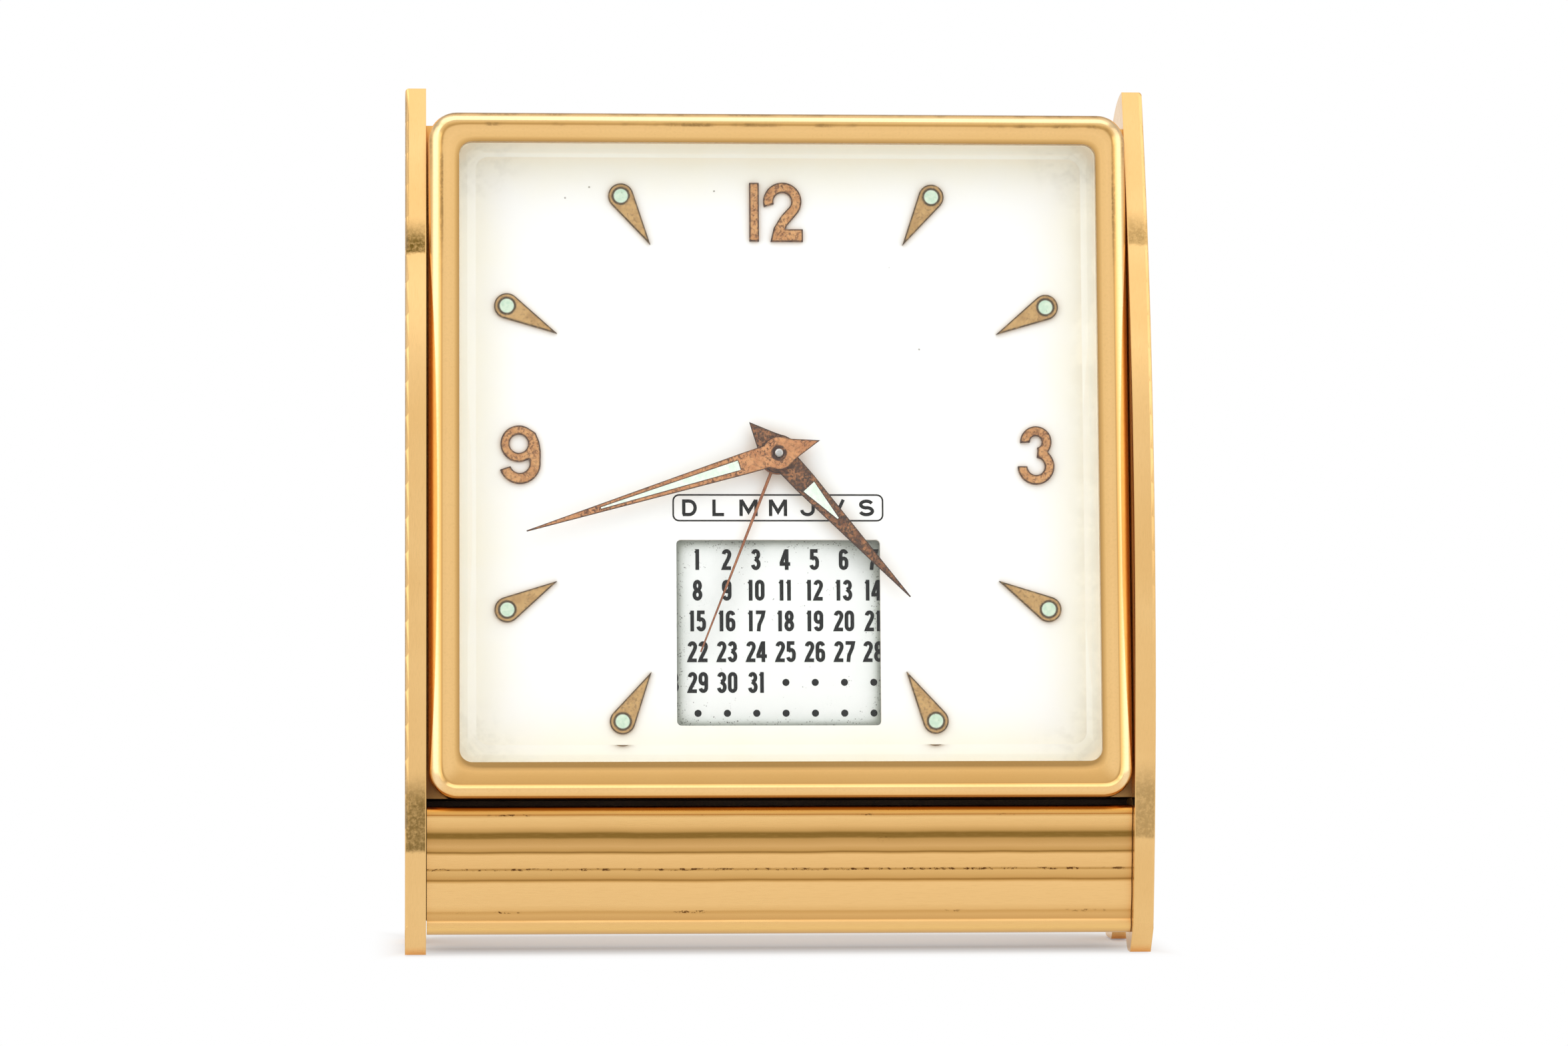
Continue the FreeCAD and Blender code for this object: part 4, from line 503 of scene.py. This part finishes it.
def plainPaint(name, look):
    # an even paint or paste that has aged in patches and fine crazing
    f = Finish(name)
    base = f.mix(f.ramp(f.noise(look["patch"], 4, 0.65), 0.35, 0.68), colour(*look["colour"]),
                 colour(*look["shade"]))
    base = f.mix(f.ramp(f.noise(look["patch"] / 3, 3, 0.7), 0.62, 0.72), base, colour(*look["spot"]))
    # dust with painted shade in the corners
    if "grime" in look:
        dusty = f.ramp(f.corners(pasteReach["corner"]), 0.25, 0.9, 0, look["grimeShare"])
        base = f.mix(dusty, base, colour(*look["grime"]))
    if "rim" in look:
        base = f.mix(f.edges(pasteReach["rim"]), base, colour(*look["rim"]))
    f.set(BaseColor=base, Metallic=0.0, Roughness=f.ramp(f.noise(look["patch"], 2), 0.3, 0.7,
                                                         *look["rough"]),
          SpecularIORLevel=look["shine"],
          Normal=f.bump(f.noise(look["patch"] / 3, 4, 0.6), look["bump"]))
    return f.material


paints = {
    # old luminous paste, the printers' ink and the pale inner frame that holds the glass off the dial
    "lumePaste": dict(shine=0.3, patch=0.7, colour=(222, 240, 218), shade=(198, 226, 202),
                      spot=(170, 190, 156), rough=(0.6, 0.8),
                      bump=0.015, grimeShare=0.5, grime=(92, 76, 40), rim=(78, 62, 34)),
    "handLume": dict(shine=0.3, patch=0.9, colour=(240, 246, 236), shade=(222, 238, 222),
                     spot=(196, 204, 170), rough=(0.6, 0.8),
                     bump=0.015, grimeShare=0.3, grime=(110, 84, 50)),
    "inkBlack": dict(shine=0.08, patch=0.5, colour=(8, 8, 8), shade=(16, 16, 15), spot=(36, 36, 33),
                     rough=(0.6, 0.75),
                     bump=0.004),
    "rehautPaint": dict(shine=0.4, patch=2.5, colour=(252, 248, 232), shade=(244, 238, 216),
                        spot=(216, 202, 164),
                        rough=(0.3, 0.45), bump=0.004, grimeShare=0.4, grime=(150, 120, 70)),
}
for name, look in paints.items():
    finishes[name] = plainPaint(name, look)


def clearGlass():
    # window glass that lets the lamps through
    f = Finish("clearGlass")
    f.set(BaseColor=(0.985, 0.995, 0.99, 1), Roughness=f.ramp(f.noise(8, 2), 0.3, 0.7, 0.0, 0.012),
          IOR=1.36, SpecularIORLevel=0.05, TransmissionWeight=1.0, Normal=f.bump(f.noise(12, 1), 0.002))
    lamp = f.add("ShaderNodeBsdfTransparent")
    path = f.add("ShaderNodeLightPath")
    both = f.add("ShaderNodeMixShader")
    f.give(both.inputs[0], f.calc("MAXIMUM", path.outputs["Is Shadow Ray"], path.outputs["Is Diffuse Ray"]))
    f.give(both.inputs[1], f.shader.outputs[0])
    f.give(both.inputs[2], lamp.outputs[0])
    f.give(f.tree.nodes["Material Output"].inputs["Surface"], both.outputs[0])
    return f.material


finishes["clearGlass"] = clearGlass()
print("materials made:", len(finishes))

# which finish each part of the clock has
finishOf = {
    "cheekGilt": ["left_cheek", "right_cheek"],
    "bezelGilt": ["bezel"],
    "apronGilt": ["ribbed_apron"],
    "caseBrass": ["case_body"],
    "coverBrass": ["back_cover"],
    "knobGilt": ["hand_setting_knob", "alarm_setting_knob", "calendar_knob", "time_winding_key",
                 "alarm_winding_key", "alarm_stop_button"],
    "movementBrass": ["minute_wheel", "hour_wheel", "alarm_wheel", "calendar_slide", "movement_back_plate",
                      "movement_pillars", "movement_posts", "dial_feet", "center_wheel", "third_wheel",
                      "fourth_wheel",
                      "escape_wheel", "time_barrel", "alarm_barrel", "alarm_strike_wheel", "balance_wheel"],
    "plateNickel": ["movement_front_plate", "calendar_rails"],
    "pinSteel": ["center_arbor", "cannon_pinion", "hand_setting_arbor", "alarm_setting_arbor",
                 "calendar_shaft",
                 "time_barrel_arbor", "alarm_barrel_arbor", "pallet_lever", "balance_staff",
                 "alarm_hammer"],
    "springSteel": ["hairspring", "alarm_gong"],
    "screwSteel": ["cheek_screws", "back_cover_screws", "plate_screws"],
    "markerTan": ["hour_markers"],
    "numeralCopper": ["numeral_12", "numeral_3", "numeral_9"],
    "minuteCopper": ["minute_hand"],
    "hourCopper": ["hour_hand"],
    "alarmCopper": ["alarm_hand"],
    "dialPaint": ["dial_plate"],
    "rehautPaint": ["rehaut_frame"],
    "cardPaper": ["calendar_card"],
    "lumePaste": ["lume_dots"],
    "handLume": ["minute_lume", "hour_lume"],
    "clearGlass": ["crystal"],
}
for finishName, nodeNames in finishOf.items():
    for nodeName in nodeNames:
        if nodeName not in clockNodes:
            print("no such part:", nodeName)
            continue
        slots = clockNodes[nodeName].data.materials
        if not len(slots):
            slots.append(None)
        for i in range(len(slots)):
            slots[i] = finishes[finishName]
bare = [n for n in clockNodes if n not in sum(finishOf.values(), [])]
print("parts dressed:", len(clockNodes) - len(bare), "bare:", bare)


def strokeSides(points, width, closed=False):
    # left and right edge of a line of even width
    left, right = [], []
    count = len(points)
    for i, p in enumerate(points):
        p = Vector(p)
        before = Vector(points[i - 1]) if i or closed else None
        after = Vector(points[(i + 1) % count]) if i < count - 1 or closed else None
        d1 = (p - before).normalized() if before is not None else (after - p).normalized()
        d2 = (after - p).normalized() if after is not None else d1
        n1, n2 = Vector((-d1.y, d1.x)), Vector((-d2.y, d2.x))
        mitre = n1 + n2
        mitre = mitre / max(0.3, mitre.dot(n1)) if mitre.length > 1e-6 else n1
        left.append(p + mitre * width / 2)
        right.append(p - mitre * width / 2)
    return left, right


def inkStroke(bm, points, width, depth, thickness, closed=False):
    # a printed line as a thin closed strip lying on the dial
    left, right = strokeSides(points, width, closed)
    rows = [[bm.verts.new(onDial(p.x, p.y, depth - lift)) for p in side] for lift in (thickness, 0.0)
            for side in (left, right)]
    frontLeft, frontRight, backLeft, backRight = rows
    count = len(points)
    for i in range(count if closed else count - 1):
        k = (i + 1) % count
        bm.faces.new((frontLeft[i], frontRight[i], frontRight[k], frontLeft[k]))
        bm.faces.new((backLeft[i], backLeft[k], backRight[k], backRight[i]))
        bm.faces.new((frontLeft[i], frontLeft[k], backLeft[k], backLeft[i]))
        bm.faces.new((frontRight[i], backRight[i], backRight[k], frontRight[k]))
    if not closed:
        bm.faces.new((frontLeft[0], backLeft[0], backRight[0], frontRight[0]))
        bm.faces.new((frontLeft[-1], frontRight[-1], backRight[-1], backLeft[-1]))


def arc(cx, cy, rx, ry, start, end, steps=8):
    return [(cx + rx * math.cos(math.radians(start + (end - start) * i / steps)),
             cy + ry * math.sin(math.radians(start + (end - start) * i / steps))) for i in range(steps + 1)]


def finishMesh(bm, name, finishName):
    bmesh.ops.recalc_face_normals(bm, faces=bm.faces[:])
    mesh = bpy.data.meshes.new(name)
    bm.to_mesh(mesh)
    bm.free()
    piece = bpy.data.objects.new(name, mesh)
    bpy.context.scene.collection.objects.link(piece)
    mesh.materials.append(finishes[finishName])
    return piece


# condensed figures as the middle lines of their strokes, 1 high and wide as given; True closes a stroke
figureStrokes = {
    "0": [(arc(0.17, 0.2, 0.17, 0.2, 180, 360) + arc(0.17, 0.8, 0.17, 0.2, 0, 180), True)],
    "1": [([(0.0, -0.1), (0.0, 1.1)], False), ([(-0.1, 0.87), (0.02, 1.0)], False)],
    "2": [(arc(0.17, 0.79, 0.17, 0.21, 172, -25, 10) + [(0.26, 0.54), (0.06, 0.16), (0.0, 0.0),
                                                        (0.42, 0.0)], False)],
    "3": [(arc(0.16, 0.78, 0.16, 0.22, 165, -62, 9) + [(0.13, 0.54)], False),
          ([(0.13, 0.54)] + arc(0.165, 0.23, 0.175, 0.24, 52, -170, 10), False)],
    "4": [([(0.26, -0.1), (0.26, 1.1)], False), ([(0.22, 1.04), (-0.06, 0.26)], False),
          ([(-0.14, 0.24), (0.46, 0.24)], False)],
    "5": [([(0.36, 1.0), (0.03, 1.0), (0.02, 0.5)], False),
          ([(0.02, 0.5)] + arc(0.16, 0.35, 0.18, 0.26, 112, -15, 7) + arc(0.16, 0.22, 0.175, 0.22, -15,
                                                                          -168, 8), False)],
    "6": [(arc(0.17, 0.8, 0.17, 0.2, 12, 180, 7) + arc(0.17, 0.2, 0.17, 0.2, 180, 360, 8)
           + arc(0.17, 0.37, 0.17, 0.2, 0, 170, 8), False)],
    "7": [([(-0.06, 1.0), (0.38, 1.0), (0.32, 0.72), (0.13, 0.28), (0.09, -0.1)], False)],
    "8": [(arc(0.17, 0.235, 0.18, 0.235, 90, 450, 16)[:16], True),
          (arc(0.17, 0.76, 0.155, 0.24, -90, 270, 16)[:16], True)],
    "9": [(arc(0.17, 0.2, 0.17, 0.2, 192, 360, 7) + arc(0.17, 0.8, 0.17, 0.2, 0, 180, 8)
           + arc(0.17, 0.63, 0.17, 0.2, 180, 350, 8), False)],
}
cardPrint = dict(columnPitch=3.94, rowPitch=4.14, firstColumn=-10.84, firstRow=-13.97, height=2.8,
                 line=0.48,
                 wide=1.45, narrow=1.0, cardFront=9.5, thickness=0.02, dotWidth=0.94, dotSides=20)
# thirteen columns, of which the window shows seven at a time; None is empty
cardRows = [[None] * 6 + list(range(1, 8)), list(range(2, 15)), list(range(9, 22)), list(range(16, 29)),
            list(range(23, 32)) + ["dot"] * 4, [30, 31] + ["dot"] * 11]


def drawFigures(bm, text, x, z, look):
    tall = look["height"] - look["line"]
    steps = [look["narrow"] if c == "1" else look["wide"] for c in text]
    at = x - sum(steps) / 2
    for c, step in zip(text, steps):
        middle = 0.0 if c == "1" else 0.17
        for points, closed in figureStrokes[c]:
            placed = [(at + step / 2 + (px - middle) * tall, z + (py - 0.5) * tall) for px, py in points]
            inkStroke(bm, placed, look["line"], look["cardFront"], look["thickness"], closed)
        at += step


bm = bmesh.new()
dotPlaces = []
for r, row in enumerate(cardRows):
    for c, value in enumerate(row):
        x = cardPrint["firstColumn"] + (c - 6) * cardPrint["columnPitch"]
        z = cardPrint["firstRow"] - r * cardPrint["rowPitch"]
        if value == "dot":
            dotPlaces.append(onDial(x, z, cardPrint["cardFront"] - cardPrint["thickness"] / 2))
        elif value is not None:
            drawFigures(bm, str(value), x, z, cardPrint)
cardFigures = finishMesh(bm, "cardFigures", "inkBlack")


def dotTree():
    # a flat round dot on each given point, turned with the dial
    tree = bpy.data.node_groups.new("cardDotTree", "GeometryNodeTree")
    tree.interface.new_socket("Points", in_out="INPUT", socket_type="NodeSocketGeometry")
    for name in ("Dot Width", "Ink Thickness", "Dial Lean"):
        tree.interface.new_socket(name, in_out="INPUT", socket_type="NodeSocketFloat")
    tree.interface.new_socket("Dots", in_out="OUTPUT", socket_type="NodeSocketGeometry")
    add, link = tree.nodes.new, tree.links.new
    given, result = add("NodeGroupInput"), add("NodeGroupOutput")
    half = add("ShaderNodeMath")
    half.operation = "MULTIPLY"
    half.inputs[1].default_value = 0.5
    disc = add("GeometryNodeMeshCylinder")
    disc.inputs["Vertices"].default_value = cardPrint["dotSides"]
    tilt = add("ShaderNodeCombineXYZ")
    spread = add("GeometryNodeInstanceOnPoints")
    real = add("GeometryNodeRealizeInstances")
    ink = add("GeometryNodeSetMaterial")
    ink.inputs["Material"].default_value = finishes["inkBlack"]
    link(given.outputs["Dot Width"], half.inputs[0])
    link(half.outputs[0], disc.inputs["Radius"])
    link(given.outputs["Ink Thickness"], disc.inputs["Depth"])
    link(given.outputs["Dial Lean"], tilt.inputs[0])
    link(given.outputs["Points"], spread.inputs["Points"])
    link(disc.outputs["Mesh"], spread.inputs["Instance"])
    link(tilt.outputs[0], spread.inputs["Rotation"])
    link(spread.outputs[0], real.inputs[0])
    link(real.outputs[0], ink.inputs[0])
    link(ink.outputs[0], result.inputs[0])
    return tree


def fromNodes(name, tree, points, values):
    # runs a tree on points and gives the result as a plain mesh
    seedMesh = bpy.data.meshes.new(name + "Points")
    seedMesh.from_pydata([tuple(p) for p in points], [], [])
    carrier = bpy.data.objects.new(name + "Points", seedMesh)
    bpy.context.scene.collection.objects.link(carrier)
    modifier = carrier.modifiers.new("nodes", "NODES")
    modifier.node_group = tree
    for item in tree.interface.items_tree:
        if item.item_type == "SOCKET" and item.in_out == "INPUT" and item.name in values:
            modifier[item.identifier] = values[item.name]
    bpy.context.view_layer.update()
    mesh = bpy.data.meshes.new_from_object(carrier.evaluated_get(bpy.context.evaluated_depsgraph_get()))
    mesh.name = name
    bpy.data.objects.remove(carrier)
    piece = bpy.data.objects.new(name, mesh)
    bpy.context.scene.collection.objects.link(piece)
    return piece


cardDots = fromNodes("cardDots", dotTree(), dotPlaces,
                     {"Dot Width": cardPrint["dotWidth"] * mm, "Ink Thickness": cardPrint["thickness"] * mm,
                      "Dial Lean": math.pi / 2 - lean})
for printed in (cardFigures, cardDots):
    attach(printed, "calendar_sheet")
print("card printed:", len(dotPlaces), "dots")

dayPrint = dict(width=28.2, height=3.48, middle=-7.1, corner=0.8, line=0.21, letter=2.26, letterLine=0.44,
                pitch=3.97, dialFront=8.4, thickness=0.02)
# wide letters for the days, 1 high
letterStrokes = {
    "D": [[(0, 0), (0, 1), (0.4, 1)] + arc(0.4, 0.5, 0.44, 0.5, 90, -90, 10)[1:] + [(-0.08, 0)]],
    "L": [[(0, 1.11), (0, 0), (0.74, 0)]],
    "M": [[(0, -0.11), (0, 1.11)], [(0.02, 1.08), (0.55, 0.2), (1.08, 1.08)], [(1.1, 1.11), (1.1, -0.11)]],
    "J": [[(0.84, 1.11), (0.84, 0.34)] + arc(0.42, 0.34, 0.42, 0.34, 0, -180, 10)[1:]],
    "V": [[(0, 1.11), (0.47, 0.1), (0.94, 1.11)]],
    "S": [arc(0.45, 0.75, 0.42, 0.25, 20, 180, 8) + arc(0.45, 0.75, 0.42, 0.25, 180, 262, 4)[1:]
          + arc(0.45, 0.26, 0.45, 0.26, 82, -90, 8) + arc(0.45, 0.26, 0.45, 0.26, -90, -165, 5)[1:]],
}
bm = bmesh.new()
halfW, halfH, r = dayPrint["width"] / 2, dayPrint["height"] / 2, dayPrint["corner"]
frameLine = []
for sx, sz, start in ((1, 1, 0), (-1, 1, 90), (-1, -1, 180), (1, -1, 270)):
    frameLine += arc(sx * (halfW - r), dayPrint["middle"] + sz * (halfH - r), r, r, start, start + 90, 6)
inkStroke(bm, frameLine, dayPrint["line"], dayPrint["dialFront"], dayPrint["thickness"], True)
tall = dayPrint["letter"] - dayPrint["letterLine"]
for i, letter in enumerate("DLMMJVS"):
    wide = max(p[0] for s in letterStrokes[letter] for p in s)
    for s in letterStrokes[letter]:
        placed = [(dayPrint["pitch"] * (i - 3) + (px - wide / 2) * tall,
                   dayPrint["middle"] + (py - 0.5) * tall) for px, py in s]
        inkStroke(bm, placed, dayPrint["letterLine"], dayPrint["dialFront"], dayPrint["thickness"])
dayBox = finishMesh(bm, "dayBox", "inkBlack")
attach(dayBox, "clock_frame")
print("days printed")

# a plain white floor that fades out past the clock's own shadow
stageLook = dict(floorSize=8.0, floorDrop=0.0002, frontFade=(-0.008, 0.02), sideFade=(0.046, 0.055),
                 backFade=(0.012, 0.03), floorColour=(244, 244, 245), glow=0.25)
bm = bmesh.new()
bmesh.ops.create_grid(bm, x_segments=1, y_segments=1, size=stageLook["floorSize"])
floorMesh = bpy.data.meshes.new("floor")
bm.to_mesh(floorMesh)
bm.free()
floor = bpy.data.objects.new("floor", floorMesh)
floor.location.z = cadBox[0][2] - stageLook["floorDrop"]
bpy.context.scene.collection.objects.link(floor)
f = Finish("floorWhite")
reach = f.add("ShaderNodeSeparateXYZ")
f.give(reach.inputs[0], f.place)
far = f.calc("MAXIMUM", f.ramp(f.calc("MULTIPLY", reach.outputs[1], -1.0), *stageLook["frontFade"]),
             f.ramp(f.calc("ABSOLUTE", reach.outputs[0]), *stageLook["sideFade"]))
far = f.calc("MAXIMUM", far, f.ramp(reach.outputs[1], *stageLook["backFade"]))
f.set(BaseColor=colour(*stageLook["floorColour"]), Roughness=0.9)
glow = f.add("ShaderNodeEmission")
glow.inputs["Strength"].default_value = 1.0
path = f.add("ShaderNodeLightPath")
seen = f.calc("MAXIMUM", path.outputs["Is Camera Ray"],
              f.calc("MAXIMUM", path.outputs["Is Glossy Ray"], path.outputs["Is Transmission Ray"]))
both = f.add("ShaderNodeMixShader")
f.give(both.inputs[0], f.calc("MULTIPLY", seen, f.calc("MAXIMUM", far, stageLook["glow"])))
f.give(both.inputs[1], f.shader.outputs[0])
f.give(both.inputs[2], glow.outputs[0])
f.give(f.tree.nodes["Material Output"].inputs["Surface"], both.outputs[0])
floorMesh.materials.append(f.material)

# white all round; gloss finds it dimmer between the front wall and the ceiling
worldLook = dict(light=0.78, wallTop=0.42, dimFrom=0.5, dimTo=0.72, ceiling=0.86, dim=0.62)
world = bpy.data.worlds.new("studio")
bpy.context.scene.world = world
world.use_nodes = True
sky = world.node_tree
sky.nodes.clear()


def skyCalc(kind, a, b):
    node = sky.nodes.new("ShaderNodeMath")
    node.operation = kind
    for socket, value in zip(node.inputs, (a, b)):
        if isinstance(value, bpy.types.NodeSocket):
            sky.links.new(value, socket)
        else:
            socket.default_value = value
    return node.outputs[0]


def skyRamp(value, low, high, start, end):
    node = sky.nodes.new("ShaderNodeMapRange")
    node.interpolation_type = "SMOOTHSTEP"
    sky.links.new(value, node.inputs[0])
    for socket, given in zip(list(node.inputs)[1:5], (low, high, start, end)):
        socket.default_value = given
    return node.outputs[0]


height = sky.nodes.new("ShaderNodeSeparateXYZ")
sky.links.new(sky.nodes.new("ShaderNodeTexCoord").outputs["Generated"], height.inputs[0])
dimmed = skyCalc("MAXIMUM", skyRamp(height.outputs[2], worldLook["wallTop"], worldLook["dimFrom"], 1.0,
                                    worldLook["dim"]),
                 skyRamp(height.outputs[2], worldLook["dimTo"], worldLook["ceiling"], worldLook["dim"],
                         1.0))
rays = sky.nodes.new("ShaderNodeLightPath")
skyOut = sky.nodes.new("ShaderNodeOutputWorld")
plainSky, glossSky, whiteSky = (sky.nodes.new("ShaderNodeBackground") for _ in range(3))
plainSky.inputs["Strength"].default_value = worldLook["light"]
sky.links.new(dimmed, glossSky.inputs["Strength"])
whiteSky.inputs["Strength"].default_value = 1.0
glossMix, seenMix = sky.nodes.new("ShaderNodeMixShader"), sky.nodes.new("ShaderNodeMixShader")
for background in (plainSky, glossSky, whiteSky):
    background.inputs["Color"].default_value = (1, 1, 1, 1)
sky.links.new(rays.outputs["Is Glossy Ray"], glossMix.inputs[0])
sky.links.new(plainSky.outputs[0], glossMix.inputs[1])
sky.links.new(glossSky.outputs[0], glossMix.inputs[2])
sky.links.new(skyCalc("MAXIMUM", rays.outputs["Is Camera Ray"], rays.outputs["Is Transmission Ray"]),
              seenMix.inputs[0])
sky.links.new(glossMix.outputs[0], seenMix.inputs[1])
sky.links.new(whiteSky.outputs[0], seenMix.inputs[2])
sky.links.new(seenMix.outputs[0], skyOut.inputs["Surface"])

lamps = {
    # place, power, width, height; each points at the middle of the clock
    "topLamp": ((-0.1, -0.36, 0.7), 2.2, 1.1, 0.9),
    "leftLamp": ((-0.75, -0.45, 0.3), 1.9, 0.9, 1.0),
    "rightLamp": ((0.75, -0.45, 0.3), 1.7, 0.9, 1.0),
}
aim = Vector((0, -0.01, 0.058))
for lampName, (place, power, wide, high) in lamps.items():
    light = bpy.data.lights.new(lampName, "AREA")
    light.shape = "RECTANGLE"
    light.size, light.size_y = wide, high
    light.energy = power
    lamp = bpy.data.objects.new(lampName, light)
    lamp.location = place
    lamp.rotation_euler = (aim - Vector(place)).to_track_quat("-Z", "Y").to_euler()
    bpy.context.scene.collection.objects.link(lamp)

cameraLook = dict(lens=132.9, sensor=36, clip=(0.02, 50), place=(-50.6, -784.3, 67.3),
                  right=(0.9978132, -0.0660838, 0.0013201),
                  up=(-0.00048606, 0.0126352, 0.9999201))
camera = bpy.data.cameras.new("photoCamera")
camera.lens = cameraLook["lens"]
camera.sensor_width = cameraLook["sensor"]
camera.clip_start, camera.clip_end = cameraLook["clip"]
cameraObject = bpy.data.objects.new("photoCamera", camera)
right, up = Vector(cameraLook["right"]).normalized(), Vector(cameraLook["up"])
up = (up - right * up.dot(right)).normalized()
turn = Matrix((right, up, right.cross(up))).transposed().to_4x4()
cameraObject.matrix_world = Matrix.Translation(Vector(cameraLook["place"]) * mm) @ turn
bpy.context.scene.collection.objects.link(cameraObject)
bpy.context.scene.camera = cameraObject
bpy.context.scene.view_settings.view_transform = "Standard"
print("stage set")
